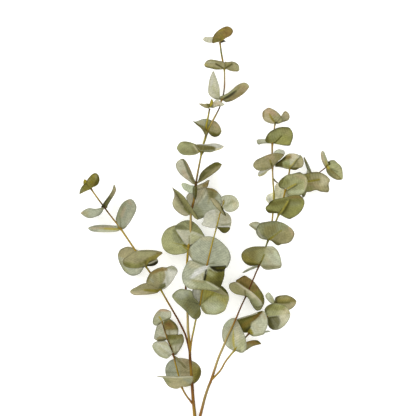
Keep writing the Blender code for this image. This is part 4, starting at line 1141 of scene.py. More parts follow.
LEFT_SHOOT = Shoot(
    name="left_shoot",
    slot="woody_stem",
    route=(
        (189.8, 352, 15.4, 2.6, BROWN), (186.5, 339, 15, 2.6, BROWN), (184, 332, 15, 2.5, BROWN),
        (178, 320, 15, 2.4, BROWN), (174.5, 314, 15.5, 2.2, BROWN), (167, 301, 17, 2.3, OCHRE),
        (160.5, 289.5, 18.5, 2.3, STRAW), (151, 274, 20, 2.4, OCHRE), (145.5, 266, 20.5, 2.3, STRAW),
        (135, 250, 20, 2.3, GOLD), (120.5, 228.5, 19, 2.4, GOLD), (118, 225, 18.6, 2.5, GOLD),
        (113, 219, 18, 1.9, OCHRE), (104.2, 207.5, 17, 1.9, DARK), (95, 195, 15.5, 1.9, GOLD),
        (90.5, 188.5, 15, 1.8, DARK),
    ),
    leaves=LEFT_SHOOT_LEAVES,
)

SHORT_MIDDLE_SHOOT_LEAVES = (
    Leaf((222, 207), 26, 26, pitch=5, left=10, right=12, curl=15, tones=(PALE, PALE), tip=(238.8, 204.5),
        rim_shade=0.3,
        rims=(at(221.8, 201, 221.2, 197.5, 223.5, 195.8, 227, 195, 231, 195.2, 234.7, 196.9, 237.2, 200),
        at(224, 209.5, 226, 211.2, 230, 211.9, 234, 211, 237.2, 208.4)),
        patches=(Patch(at(231, 198, 237, 203, 234, 208), BEIGE, 0.6, blur=2), Patch(at(224.5, 206.5,
        228, 203.5, 232, 200.5, 234, 201.5, 229, 204.5, 226, 207), SAGE, 0.8, blur=1.6))),
    Leaf((222, 207), 16, 24, pitch=10, left=75, right=-70, tones=(TAUPE, TAUPE), tip=(210.3, 198.3),
        pointed=True, spine=at(216, 204),
        rims=(at(225.9, 215.6, 222, 213.5, 217, 208.5, 213.5, 204.5, 211, 200.5), at(221, 205, 217.5, 200.8,
        214, 198.6)),
        patches=(Patch(at(211, 199, 216, 203, 218, 207), BEIGE, 0.6, 1), Patch(at(216.5, 200.3,
        221.3, 206.5), FERN, 0.85), Patch(at(221.5, 207.8, 223.3, 210.6, 225.6, 214.6), INK, 1, 0.9),
        Patch(at(221, 206, 222, 208), MOSS, 0.9))),
    Leaf((222, 207), 13, 6, pitch=10, left=20, right=20, tones=(BEIGE, YELLOW), tip=(223.8, 199.5),
        pointed=True,
        rims=(at(221.6, 203.5, 222.3, 200.8), at(223.6, 204, 224.4, 201.5))),
    Leaf((216.5, 227), 40, 43, pitch=-36, bend=10, left=0, right=0, curl=6, tones=(BLOOM, STONE),
        tip=(215, 209.5), rim_shade=0.25,
        rims=(at(212, 227.8, 208, 227, 204, 225.8, 201.2, 224, 203.3, 221, 203.8, 217, 206, 213,
        210, 210.5), at(222, 227.2, 229, 227.6, 231, 224, 231.3, 219.5, 230, 216, 227.5, 213.3, 223, 211,
        219, 209.7)),
        # painted highlight: the glint line along the lower edge
        patches=(Patch(at(208, 213, 215, 219, 207, 223), PALE, 0.4, 2, 3), Patch(at(224, 215, 229, 217,
        225, 222), BEIGE, 0.45, blur=2), Patch(at(221.5, 224.8, 230, 223.7, 229, 225.5, 221, 225.6), FERN,
        0.7), Patch(at(217, 226.7, 229, 226.2), GLINT, 1, 0.5, 0.6))),
    Leaf((216.5, 227), 21, 20, pitch=15, left=60, right=-60, tones=(DARK_OLIVE, DARK_OLIVE),
        tip=(229.9, 227.6),
        rims=(at(221, 227.2, 225, 227), at(219, 229.3, 221.3, 231.8, 224.5, 232.9, 227.8, 231.4)),
        patches=(Patch(at(219, 228.5, 224, 231), MOSS, 0.8, 1.2, 1.5),)),
    Leaf((207, 265), 42, 58, pitch=-4, left=4, right=0, curl=8, tones=(GREY, GREY), tip=(209, 236),
        rims=(at(200, 264.2, 194.5, 262, 191, 257.5, 188.7, 253, 189.5, 248, 193.5, 243.5, 199.5, 238.2,
        204, 236.4), at(213, 264.2, 220, 265, 226, 267.5, 229.5, 262, 230.6, 256.5, 228.7, 250,
        224.5, 244.5, 219, 239.7, 214, 236.9)),
        patches=(Patch(at(202, 238, 212, 239), BEIGE, 0.6, 1.5, 2.5), Patch(at(212, 264, 218, 259,
        222, 252), SHADOW_GREY, 0.5, 1, 3), Patch(at(216, 264, 227, 261, 227, 265), PALE, 0.7, blur=2),
        Patch(at(189, 248, 190, 253, 190.8, 256.5), TAUPE, 0.9, 1.2), Patch(at(192, 259.5, 198, 263,
        206, 264.3), FERN, 0.7, 0.8), Patch(at(208.5, 264.3, 214, 262.5), DARK_OLIVE, 0.8))),
    Leaf((207, 265), 40, 62, pitch=50, left=8, right=0, curl=20, tones=(GREY, GREY), tip=(206, 288),
        rim_shade=0.25,
        rims=(at(211, 263.5, 219, 263.8, 226, 264.6, 224.5, 269, 224, 275, 222.5, 280, 220.8, 284.5,
        219, 287.6, 213, 288.6), at(200, 264.2, 194, 261, 190, 259.5, 187, 262.5, 184.5, 267, 182.6, 272,
        182.4, 277, 184, 282, 187, 285.5, 193, 287.6)),
        # painted light and shade on the curled blade: the glint stripe and the thin pale lines are
        # highlights along its curled edges, and the dark olive, moss and ink areas are shade in its hollow
        # and in the gap under the leaf above; the narrow ink line running down from the node is the dark
        # stem showing
        patches=(Patch(at(189, 260, 198, 263, 200, 267, 189, 267), BEIGE, 0.45, blur=2), Patch(at(196, 273,
        204, 270, 204, 280, 196, 279), STONE, 0.6, blur=1.5), Patch(at(202.5, 273, 204, 280), TAUPE, 0.7,
        0.8), Patch(at(190.5, 277, 196, 270, 203, 266.3, 208, 265.5, 206, 268.5, 200, 272.5, 194, 276),
        GLINT, 0.95), Patch(at(207.5, 270, 211, 268, 215, 270.5, 219, 271, 225, 270, 225, 277, 221, 287,
        211, 283, 204, 281), DARK_OLIVE, 1), Patch(at(208.5, 271, 211, 274), SAGE, 0.7, 1.5, 2.5),
        Patch(at(218, 272, 225, 272, 224, 280, 220, 287, 215, 285), MOSS, 0.6, blur=2), Patch(at(209, 281.5,
        220, 286.5, 223, 281), INK, 0.5, 1.2, 2), Patch(at(208, 272, 213, 273), LIME, 0.5, 1.6, 2.5),
        Patch(at(210.3, 266.3, 226, 265.3, 225, 269, 221, 270.5, 216.5, 270.3, 212.5, 268.5), INK, 1,
        blur=0.7), Patch(at(217, 267.5, 226, 267), MOSS, 0.9, 0.8), Patch(at(209.5, 267.5, 213, 269.9),
        PALE, 0.9, 0.3, 0.6), Patch(at(213, 270.2, 217, 271.3), PALE, 0.6, 0.2, 0.6), Patch(at(206.6, 270,
        205.2, 275, 204.2, 279.8), INK, 1, 1.2, 0.6), Patch(at(208.3, 267.5, 206.3, 273), PALE, 0.8, 0.3,
        0.6), Patch(at(192, 279.3, 204.5, 280, 209, 281.2, 214, 284, 219.5, 287.6, 213, 289, 196, 289,
        188, 285), SAGE, 0.9, blur=0.6), Patch(at(185, 281, 192, 280, 196, 285, 190, 287), PALE, 0.7,
        blur=2), Patch(at(192, 279, 198, 279.6, 204, 281), TAUPE, 0.8, 0.6), Patch(at(207, 281, 214, 284.1,
        219, 287.4), STONE, 0.9, 0.3), Patch(at(194, 287.7, 204, 287.3, 213, 288.4), OLIVE, 0.6))),
    Leaf((204.5, 280), 30, 54, pitch=64, left=0, right=0, curl=12, tones=(KHAKI, GREY), tip=(206, 288.3),
        rim_shade=0.3,
        rims=(at(209, 281.1, 214, 283.8, 219, 287.2, 224, 290.6, 228.2, 294.2, 222, 293, 216, 290.8,
        210, 289), at(199, 279.4, 192.5, 279, 188, 281, 186.6, 284, 189.5, 286.9, 194, 287.9, 200, 288)),
        patches=(Patch(at(198, 282, 208, 283, 205, 286), KHAKI, 0.8, blur=2.5), Patch(at(189, 283,
        195, 285), STONE, 0.6, 1.5, 2), Patch(at(192, 279.3, 204, 280), TAUPE, 0.7), Patch(at(209, 281.3,
        214, 284, 219, 287.5), STONE, 0.9, 0.3), Patch(at(196, 287.5, 210, 288), SAGE, 0.6))),
    Leaf((200, 304), 40, 48, pitch=-6, left=26, right=42, curl=8, notch=0.3, skew=-0.3, tones=(SAGE, SAGE),
        tip=(172.2, 296),
        rims=(at(200.3, 308, 201, 312.5, 199.6, 316, 196.5, 318.3, 192.5, 317, 189, 313.6, 185, 309.5,
        180.5, 305.5, 175.8, 301.5), at(197.5, 300, 193.5, 295.5, 191.7, 290, 187, 288.9, 182, 288.2,
        178, 289.4, 174.3, 292.2)),
        patches=(Patch(at(175, 296, 179, 290, 189, 290, 188, 295, 181, 299), GREY, 0.85, blur=2),
        Patch(at(176, 299, 186, 308), SAGE, 0.7, 1, 1.5), Patch(at(189, 296, 194, 296, 199, 303, 200.5, 312,
        196.5, 317, 189, 312, 183, 305), FERN, 0.9, blur=3), Patch(at(186, 304, 192, 312), OLIVE, 0.5, 1,
        2), Patch(at(193, 317, 200, 316, 200.5, 308), DARK_OLIVE, 0.7))),
    Leaf((200, 304), 41, 43, pitch=-8, left=6, right=6, curl=6, tones=(LIME, LIME), tip=(229, 298.5),
        rims=(at(196, 300.5, 192.8, 295.5, 192.3, 290, 196, 287, 204, 286.5, 213, 286, 220.3, 285.2,
        225, 288.5, 228, 293), at(201.3, 307.5, 203, 311, 206, 313.4, 211, 314.1, 216, 314.2, 221, 312.5,
        225, 309.8, 226.8, 305.5)),
        patches=(Patch(at(205, 306, 215, 303, 222, 306, 215, 312, 207, 311), MINT, 0.6, blur=4),
        Patch(at(202, 288, 214, 287.5, 222, 290, 228, 295, 218, 295, 211, 296, 203, 302), FRESH, 0.9,
        blur=1.5), Patch(at(204, 288, 214, 288, 212, 294, 205, 299), YELLOW, 0.35, blur=2),
        Patch(at(218, 297, 227, 297, 226, 304), YELLOW, 0.5, blur=3), Patch(at(220, 285.5, 225, 289,
        228, 293.3), MOSS, 0.95, 1.6), Patch(at(191.5, 288, 199.5, 290, 199.5, 304, 195, 300), BLOOM, 0.95),
        Patch(at(207, 303, 214, 307), STONE, 0.4, 2, 3), Patch(at(202, 303, 207, 298.2, 212, 294.3),
        DARK_OLIVE, 0.9, 0.5), Patch(at(212, 294.3, 215, 290), STEM_OLIVE, 0.9, 0.6), Patch(at(206, 290,
        212, 290), STEM_OLIVE, 0.5, 0.7), Patch(at(215, 293.5, 227, 295.3), OLIVE, 0.5),
        Patch(at(202.5, 305.5, 203.5, 310.5, 207, 313), OLIVE, 0.8))),
)
SHORT_MIDDLE_SHOOT = Shoot(
    name="short_middle_shoot",
    slot="green_stem",
    route=(
        (190, 352, 15.4, 2.3, OCHRE), (191.7, 340, 19, 2.3, OCHRE), (193.5, 331, 22, 2.2, STRAW),
        (196, 319, 26, 2.1, STRAW), (200, 304, 33, 2.1, GOLD), (202, 292, 37, 2, GOLD),
        (204.5, 280, 40, 1.9, DARK), (207, 265, 43, 1.9, OCHRE), (210.5, 250, 45, 1.8, GOLD),
        (213.5, 238, 46, 1.7, STRAW), (216.5, 227, 47, 1.7, STRAW), (220, 213, 48, 1.4, GOLD),
        (222, 207, 48.5, 1.4, GOLD),
    ),
    leaves=SHORT_MIDDLE_SHOOT_LEAVES,
)

LOWER_LEFT_SHOOT_LEAVES = (
    Leaf((161.8, 321), 24, 31, pitch=42, left=5, right=5, curl=12, tones=(PALE, PALE), tip=(160.8, 308.7),
        rims=(at(160, 323.8, 157, 325.4, 154.4, 325.1, 152.9, 322.5, 153.2, 319, 154.5, 315.5, 157, 311.8),
        at(165, 321.2, 168.5, 319.8, 170.4, 318.2, 171.5, 315, 171.2, 311.6, 169.5, 310.1, 165.5, 308.6)),
        patches=(Patch(at(155, 318, 154.5, 323, 159, 322), LIME, 0.6, 1, 2), Patch(at(156, 315,
        159.5, 311.5), BEIGE, 0.9, 1.2, 1.5), Patch(at(159, 309.8, 162.5, 308.6, 169, 310.3), ROSE, 0.95,
        0.8), Patch(at(165, 313, 170, 313), STONE, 0.6, 1.2, 1.5), Patch(at(163, 317.5, 165, 318.5), SAGE,
        0.7, 0.8), Patch(at(159.4, 316.6, 161.2, 319.8), YELLOW, 1, 0.9), Patch(at(170.2, 317.6, 165, 320.3,
        160, 323.4), DARK_OLIVE, 0.95, 0.8), Patch(at(158, 324, 161, 323.4), MOSS, 0.8))),
    Leaf((167.5, 339), 33, 34, pitch=-28, left=10, right=10, curl=10, tones=(STONE, OLIVE),
        tip=(165, 319.8), spine=at(165.5, 334, 163, 327),
        rims=(at(160, 340, 156, 340, 154, 338.5, 154.8, 333, 156, 328, 157, 325, 160, 321.5), at(174, 337,
        177.8, 334.3, 178.4, 331, 177.6, 327, 175.5, 324, 172, 321, 168.6, 319.6)),
        patches=(Patch(at(156, 330, 157, 337), GREY, 0.7, 1.5, 2), Patch(at(161.5, 331, 161.8, 333), MINT,
        0.8, 0.8), Patch(at(165, 324, 168, 321.5, 174, 324, 175.5, 327.5, 171, 330, 165, 330), BRONZE, 0.8,
        blur=1.5), Patch(at(166, 325, 170, 324, 171.5, 327), RUSSET, 0.7, 1, 1.5), Patch(at(171.5, 321,
        175.5, 324.5, 177.5, 329.5), MOSS, 0.7), Patch(at(166.5, 331.3, 177.5, 331, 178, 334.5, 166, 334.5),
        STONE, 0.9, blur=1.2), Patch(at(169, 330, 169.5, 334), OLIVE, 0.7, 0.7), Patch(at(162, 324.5,
        166, 322.5), DARK_OLIVE, 0.8, 0.8))),
    Leaf((167.5, 339), 22, 26, pitch=10, left=50, right=-58, curl=8, tones=(TAUPE, TAUPE),
        tip=(156.3, 339.4), pointed=True,
        rims=(at(165, 340.3, 161, 340.6, 158, 341), at(169, 336, 166, 334.2, 163, 334.7, 160, 336,
        157.2, 338)),
        patches=(Patch(at(164, 336.5, 168, 337), DARK_OLIVE, 0.95, 1.4, 1.5), Patch(at(158.5, 340.1,
        166.5, 339.8), INK, 0.9, 0.6), Patch(at(159, 338, 163, 337), ROSE, 0.35, 0.6))),
    Leaf((173, 354), 34, 32, pitch=-4, left=-50, right=54, curl=8, tones=(PALE, PALE), tip=(152.2, 347),
        rims=(at(171, 355.6, 169.5, 357.2, 167, 359.2, 164, 359.1, 160, 357.6, 156.5, 354.6, 153.8, 351),
        at(170, 347, 167, 341.6, 162, 340.4, 158, 340.9, 154.5, 342.3, 152.6, 344.5)),
        patches=(Patch(at(160, 342, 167, 343.5), BEIGE, 0.7, 1.2, 2), Patch(at(153.5, 347, 155, 352,
        160, 356.5), SAGE, 0.6, 0.8, 1.5), Patch(at(160, 357, 167, 358.2), LIME, 0.7, 0.8, 1.5),
        Patch(at(160, 348, 166, 353), KHAKI, 0.5, 1.5, 2.5), Patch(at(158, 343, 165, 348.5, 172, 354),
        BLOOM, 0.7, 0.6, 0.9), Patch(at(158, 341.3, 163, 341.2), BLOOM, 0.9, 0.4), Patch(at(168.5, 356,
        172, 354.8), FERN, 0.7))),
    Leaf((173, 354), 31, 34, pitch=14, left=38, right=-56, curl=8, skew=0.2, tones=(OLIVE, OLIVE),
        tip=(180, 334),
        rims=(at(172.4, 349, 170, 343, 168, 338.5, 167.8, 335.2, 171.5, 334, 176, 334.2), at(175.6, 355.2,
        178, 352.7, 180.6, 349, 182.6, 345, 183.9, 341, 183.4, 337, 182.3, 334.3)),
        patches=(Patch(at(170, 340, 182, 339, 181.5, 343, 173, 344), SAGE, 0.8, blur=2),
        Patch(at(168, 335.3, 176, 335.3, 175, 338, 168.5, 338.5), DARK_OLIVE, 0.9, blur=1.2),
        Patch(at(178, 335, 182, 334.9), MOSS, 0.6), Patch(at(173, 345.5, 181, 344, 178, 351, 175, 354),
        STONE, 0.85, blur=1.5), Patch(at(175.6, 345, 175.2, 352), SAGE, 0.7, 0.6), Patch(at(174, 354.5,
        177, 352.5), FERN, 0.9, 1))),
    Leaf((174, 356), 25, 24, pitch=0, left=40, right=-40, tones=(TAUPE, TAUPE), tip=(186.2, 368.8),
        pointed=True,
        rims=(at(177.5, 357.3, 181.5, 361.5, 185.5, 366.2), at(175.8, 359.3, 180, 363.8, 184, 367.8)),
        patches=(Patch(at(176.5, 358.8, 181, 363, 185, 367.8), OLIVE, 0.9, 0.6),)),
    Leaf((181.5, 387), 42, 56, pitch=-46, bend=28, left=-26, right=-38, curl=4, notch=0,
        tones=(GREY, BEIGE), tip=(182, 359.4), spine=at(180, 374),
        rims=(at(172, 386, 167, 380, 165, 374, 165.3, 368, 168, 363.5, 172, 360.8, 177, 359.4), at(189, 387,
        193, 385.4, 197, 383, 200, 378.5, 201.2, 373.5, 200.2, 369, 197, 365, 193, 362.7, 188, 360.5)),
        # painted shadow: the last patch, a thin fern line, is shade that the front leaf's rim casts on this
        # one
        patches=(Patch(at(176, 361, 190, 362, 190, 374, 178, 374), KHAKI, 0.7, blur=3), Patch(at(180, 361,
        188, 364), ROSE, 0.35, 1.5, 2), Patch(at(188.3, 366, 189.5, 374), BEIGE, 0.7, 0.8),
        Patch(at(193, 362, 198, 365.5, 201.5, 373, 198, 383, 192, 386, 192, 372), STEM_OLIVE, 0.8,
        blur=1.5), Patch(at(194, 364.5, 197, 368), TAUPE, 0.8, 1.3, 1.5), Patch(at(199.5, 370, 200.3, 374,
        197, 382, 194, 385), MOSS, 0.7, 1, 1.5), Patch(at(163, 374, 190, 373.8), FERN, 0.6, 0.6))),
    Leaf((181.5, 387), 38, 50, pitch=62, left=-4, right=-4, curl=8, notch=0, tones=(KHAKI, KHAKI),
        tip=(178, 374.4),
        rims=(at(177, 389, 172, 388.2, 168, 385.7, 165.3, 381.6, 163, 377.3, 161.3, 375.9, 156.5, 375.4,
        163, 374.4, 170, 374.4), at(186, 387, 190, 385.2, 192.6, 381.2, 193.3, 378, 192.8, 375.4,
        187, 374.4)),
        # painted highlight: the stone line along the straight top edge; the shadow grey patch is painted
        # shade
        patches=(Patch(at(163, 377, 169, 377, 169, 384), SAGE, 0.7, 1, 2), Patch(at(171, 384, 183, 386),
        BEIGE, 0.5, 1.5, 2.5), Patch(at(184, 377.5, 191, 378, 190, 383), SHADOW_GREY, 0.75, 1, 2),
        Patch(at(168, 380, 170, 382), GREEN, 0.5, 1, 1.5), Patch(at(157, 375.3, 175, 375.2, 192, 375.4),
        STONE, 0.9, 0.55, 0.7), Patch(at(186, 386.5, 192, 383), DARK_OLIVE, 0.7, 0.6))),
)
LOWER_LEFT_SHOOT = Shoot(
    name="lower_left_shoot",
    slot="woody_stem",
    route=(
        (193.2, 405.5, 6.6, 2.4, RUST), (190, 401.5, 9, 2.4, RUST), (186, 396, 12.5, 2.3, OCHRE),
        (181.5, 387, 16, 2.3, OCHRE), (178.6, 376, 18, 2.1, GOLD), (176, 366, 19, 2, GOLD),
        (173, 354, 20, 1.9, BROWN), (167.5, 339, 20, 1.8, OCHRE), (163.5, 327, 20, 1.4, DARK),
        (161.8, 321, 20, 1.4, GOLD),
    ),
    leaves=LOWER_LEFT_SHOOT_LEAVES,
)

RIGHT_STEM_LEAVES = (
    Leaf((246, 296), 40, 60, pitch=60, left=5, right=0, curl=18, tones=(KHAKI, SAGE), tip=(248, 288.6),
        rims=(at(243.5, 295.8, 240, 294.9, 236, 294, 232.5, 292, 230, 289.2, 228.7, 285.8, 229.5, 283,
        232, 281.7, 236, 281.1, 240, 283.1, 244, 286), at(248.5, 296.8, 250, 300, 252, 303.2, 254.5, 305.5,
        258, 306.4, 261.3, 305.4, 262.1, 303, 260.5, 299.8, 257, 296, 253, 292.2)),
        # painted highlight: the cream line along the upper rim
        patches=(Patch(at(247, 289, 256, 296, 262, 304, 256, 306, 247, 296), LIME, 0.35, blur=2),
        Patch(at(258, 298.5, 260.5, 303.5), PALE, 0.8, 1.3, 2), Patch(at(250, 292, 253, 296), CREAM, 0.7,
        1.8, 2), Patch(at(236.5, 281.6, 244, 286.4, 251, 291, 257, 296.4, 261, 301), CREAM, 0.9, 0.7),
        Patch(at(249.7, 298, 251.5, 302.5, 254, 305.5), FERN, 0.7, 1.2, 1.5), Patch(at(231, 284, 238, 284,
        242, 293, 234, 291), GREEN, 0.35, blur=2.5), Patch(at(232, 292, 236, 294, 243.5, 295.5), GREEN, 0.7,
        0.6), Patch(at(244.8, 289.5, 245.2, 295), DARK_OLIVE, 0.95, 0.7), Patch(at(246, 296, 247.5, 296.3),
        INK, 0.8, 0.6))),
    Leaf((246, 296), 36, 46, pitch=-48, bend=22, left=0, right=0, curl=6, tones=(BRONZE, MUSTARD),
        tip=(260.5, 290.3), rim_shade=0.6,
        rims=(at(242, 292, 237.5, 286, 236, 281, 240, 278.2, 244.5, 275.9, 248.5, 277.9, 253, 281.2,
        257, 285.4), at(249, 297.5, 250, 301, 252, 305, 254.5, 309, 257, 311, 260.5, 310.6, 263, 307.3,
        264.7, 303, 264.4, 298, 263.2, 294.5)),
        patches=(Patch(at(238, 280.5, 245, 278, 252, 283, 252, 289, 246, 287, 240, 283), BRONZE, 0.5,
        blur=1.5), Patch(at(240, 282.5, 246, 286.5, 250, 289), MOSS, 0.75, 1, 1.2), Patch(at(252.8, 281.5,
        253.8, 284.5), TAUPE, 0.8, 1, 1.5), Patch(at(257, 287, 261, 294, 263, 301), OLIVE, 0.5, 0.8, 1.5),
        Patch(at(251, 286, 254, 288, 253, 291), DARK_OLIVE, 0.8, blur=1.2), Patch(at(261, 292, 263.8, 298,
        264, 304), DARK_OLIVE, 0.8, 0.9), Patch(at(250, 299, 253, 306, 259, 309, 262, 306, 261, 312,
        254, 311), SAGE, 0.85, blur=1.5), Patch(at(253, 306.5, 256, 308.7, 260, 307.3), FERN, 0.8, 0.8))),
    Leaf((259.5, 264.5), 40, 60, pitch=46, left=0, right=5, curl=20, tones=(OLIVE, PALE), tip=(266, 246),
        rims=(at(257, 264.9, 254, 265.7, 250.5, 265.7, 246.8, 264.4, 243.8, 261.9, 241.8, 258.8, 241, 255.3,
        241.9, 252, 245, 249, 249.5, 247, 254, 246.1, 260, 246), at(261.3, 266, 263, 268, 265.5, 269.3,
        268.5, 269.6, 273, 268.9, 277, 268.3, 280, 267.3, 281, 264.5, 280.3, 260, 279.2, 255.5,
        277.5, 251.5, 275, 248.2, 272, 246.1)),
        patches=(Patch(at(258, 250, 266, 249, 266, 262, 257, 262), LIME, 0.7, blur=4), Patch(at(264, 247,
        275, 247, 273, 253, 266, 252), TAUPE, 0.5, blur=2.5), Patch(at(275, 253, 278.5, 259), MINT, 0.6,
        1.6, 2.5), Patch(at(266, 258, 271, 264), BEIGE, 0.5, 1.6, 2.5), Patch(at(242, 254, 244, 260,
        250, 264.5, 258, 263.5), STEM_OLIVE, 0.35, 1.2, 2), Patch(at(244, 262.3, 248, 264.5, 253, 265,
        258, 264.4), MOSS, 0.85, 0.9, 1.2), Patch(at(242, 252, 249, 247.7, 264, 246.6), FERN, 0.6, 0.7),
        Patch(at(261.5, 265.5, 265, 268, 272, 268, 280, 266), OLIVE, 0.7, 1, 1.5), Patch(at(276, 250,
        278, 254), OLIVE, 0.6, 0.6), Patch(at(260, 264, 262.5, 258, 263.8, 254), MUSTARD, 1, 0.8, 0.6),
        Patch(at(259.5, 264.5, 261, 261), MOSS, 0.9, 0.7))),
    Leaf((259.5, 264.5), 28, 28, pitch=-5, left=-70, right=-70, tones=(GREY, GREY), tip=(242.3, 272.7),
        pointed=True,
        rims=(at(257, 267.5, 250, 270.5, 245, 272.6), at(255, 266, 248, 269, 244, 271.4)),
        patches=(Patch(at(256, 267.2, 250, 270, 244, 272.3), FERN, 0.9, 0.4),)),
    Leaf((268, 240), 38, 46, pitch=28, left=0, right=16, curl=12, tones=(SAGE, TAUPE), tip=(288.5, 226.5),
        rim_shade=0.6,
        rims=(at(266, 239.4, 262.5, 239, 259.5, 237.6, 257, 234.8, 255.7, 231.5, 256.3, 228, 258.3, 224.6,
        261, 222.6, 266, 221.7, 271, 220.9, 276, 221.1, 281, 222.3, 285, 224.2), at(270.5, 240, 273, 241.7,
        275.3, 244.1, 278, 245.2, 281, 244, 285, 243.4, 288.5, 242.2, 291, 239.8, 292.8, 236.5,
        293.5, 233.3, 292.3, 230.3, 290.5, 228.1)),
        patches=(Patch(at(264, 226, 276, 224, 276, 232, 268, 237, 263, 235), OLIVE, 0.8, blur=3),
        Patch(at(260, 224, 267, 223), SAGE, 0.7, 1.5, 2), Patch(at(257.4, 230, 258.8, 235, 263, 237.8),
        STONE, 0.9, 0.7), Patch(at(288, 227.5, 291.3, 231, 292.2, 235), ROSE, 0.6, 0.6), Patch(at(283, 227,
        289, 230), TAUPE, 0.5, 1.5, 2), Patch(at(258, 224.5, 266, 222.2, 272, 221.4, 281, 223), FERN, 0.6,
        0.5), Patch(at(269, 239.5, 274, 236, 279, 231.5, 281, 230), STEM_OLIVE, 0.75, 0.7),
        Patch(at(269, 239, 272.5, 237), STEM_OLIVE, 0.8, 1), Patch(at(275, 238, 278, 234), FERN, 0.5, 0.8,
        1.5), Patch(at(276, 240, 289, 238, 286, 231), OLIVE, 0.35, blur=3), Patch(at(271.5, 240.5,
        275, 243.5, 279.5, 244), MOSS, 0.8, 1, 1.5))),
    Leaf((268, 240), 36, 24, pitch=-12, left=56, right=-50, curl=4, tones=(PALE, PALE), tip=(248.6, 224.8),
        pointed=True,
        rims=(at(262, 236, 256, 229.7, 252, 227), at(264, 228, 259, 222.4, 254, 221.9, 251, 223)),
        patches=(Patch(at(255.5, 229, 251, 226), KHAKI, 0.8, 0.8), Patch(at(250, 224, 257, 223.5), BEIGE,
        0.5, 0.8))),
    Leaf((278.5, 214), 37, 56, pitch=48, left=4, right=8, curl=12, tones=(GREEN, GREEN), tip=(289, 196.2),
        rim_shade=0.6, spine=at(281.5, 209.5, 285.3, 204, 287.7, 199.5),
        rims=(at(275.5, 212.6, 272, 213, 268.8, 212.9, 266.5, 211.3, 265.1, 208.8, 265.6, 206.6,
        267.6, 204.7, 269, 202.2, 271.8, 200.4, 276, 199.1, 281, 198.1, 285.5, 197.2), at(280.5, 214.8,
        283, 216.3, 286, 217.9, 289.5, 219, 291.5, 218, 294.5, 216.4, 297.5, 214.2, 300, 211.3, 302, 207.8,
        303.1, 203.5, 302.6, 200.2, 300.8, 197.3, 297.5, 195.3, 293, 195.3)),
        patches=(Patch(at(268, 208, 274, 209.5), GREEN, 0.8, 1.4, 2), Patch(at(270, 203, 278, 200.5,
        286, 199, 285, 203, 277, 204.5, 271, 205.5), DARK_OLIVE, 0.85, blur=1.5), Patch(at(267, 205.5,
        269.5, 203, 272, 201), MOSS, 0.9, 0.8), Patch(at(266, 210, 268.5, 212.4, 277, 212.3), MOSS, 0.85,
        0.7), Patch(at(288, 197.5, 294, 196.5, 300, 197.5), RUSSET, 0.6, 1, 1.5), Patch(at(288, 199.5,
        300, 199.5, 300, 203, 289, 204), DARK_OLIVE, 0.7, blur=1.5), Patch(at(290, 210, 297, 207, 299, 210,
        293, 216, 288, 215), FRESH, 0.2, blur=3), Patch(at(290, 204, 297, 204), SAGE, 0.5, 2, 2.5),
        Patch(at(301.5, 199, 302.3, 204, 301, 208), FRESH, 0.6, 0.6), Patch(at(281, 215, 286, 211,
        288, 204), DARK_OLIVE, 0.7, 1.2, 2), Patch(at(279.3, 213.4, 282.8, 209.4, 285.7, 205, 287, 201),
        YELLOW, 0.6, 0.6, 0.8), Patch(at(282.4, 213.2, 285.6, 208.8, 287.9, 204, 288.9, 200), MOSS, 0.9,
        0.6), Patch(at(278.5, 212.5, 281.5, 208.5), MOSS, 0.8, 0.4), Patch(at(288.5, 218.3, 291, 217.9),
        MOSS, 0.8, 0.5))),
    Leaf((285.3, 189), 36, 41, pitch=25, left=10, right=10, curl=15, tones=(LIME, LIME), tip=(306.3, 180.8),
        rims=(at(284, 188.9, 281, 188.2, 279, 187, 277.9, 184.8, 278.5, 182, 280.5, 179.4, 283.5, 176.9,
        286.5, 175.1, 291, 174.2, 296, 173.5, 300, 173.6, 303, 174.8, 305, 177.3), at(286.5, 191.2,
        288, 194.8, 292, 197, 297, 196.4, 301, 194.5, 303.8, 191.5, 305.4, 187.8, 306.3, 184.3)),
        patches=(Patch(at(281, 181, 287, 179, 289, 184, 282, 186.5), GREEN, 0.8, blur=2.5),
        Patch(at(289, 176, 297, 174.5, 303, 176, 304, 180, 295, 178), TAUPE, 0.7, blur=2),
        Patch(at(298, 176, 303, 178.5), ROSE, 0.3, 1.6, 2.5), Patch(at(304.7, 178.5, 305.3, 184, 304, 190),
        BEIGE, 0.8, 0.8), Patch(at(290, 187, 300, 184, 300, 188), SAGE, 0.5, blur=2.5), Patch(at(289, 192,
        297, 193, 303, 191), MINT, 0.45, 1.4, 2), Patch(at(284, 176.8, 280, 180, 278.6, 184, 279.5, 186.8),
        DARK_OLIVE, 0.85, 0.8), Patch(at(279.5, 187.5, 284, 188.2), FERN, 0.8, 0.6), Patch(at(287.5, 190.6,
        292, 188, 296.3, 185), MOSS, 0.8, 0.7, 0.8), Patch(at(285.6, 189.4, 290, 186.6, 295.3, 184), YELLOW,
        0.85, 0.7, 0.8), Patch(at(296, 184, 301, 183.3), GREEN, 0.7, 0.5), Patch(at(291, 189.3, 296, 189.3),
        SAGE, 0.8, 0.4))),
    Leaf((285.3, 189), 38, 32, pitch=-46, left=0, right=0, curl=6, tones=(IVORY, IVORY), tip=(266.1, 199.4),
        rim_shade=0.25,
        rims=(at(290.5, 191, 291, 198, 285, 204, 278, 207, 272, 205.4, 268.4, 202.6), at(281, 184,
        277.5, 182.8, 275.2, 185.8, 275, 190.8, 272.5, 192.8, 269.5, 193.9, 267.3, 195.8)),
        patches=(Patch(at(268, 196, 271, 201), BLOOM, 0.9, 2.2, 2.5), Patch(at(277, 184.5, 278, 190), ROSE,
        0.3, 1.2, 1.5), Patch(at(275.8, 187, 276, 196), LIME, 0.4, 0.5), Patch(at(281, 191.5, 280.5, 198),
        LIME, 0.5, 0.8, 1.5), Patch(at(286, 190, 288, 196), SAGE, 0.7, 1.3, 1.5))),
    Leaf((289.5, 168.3), 22, 28, pitch=10, left=50, right=10, curl=8, tones=(LIME, PALE),
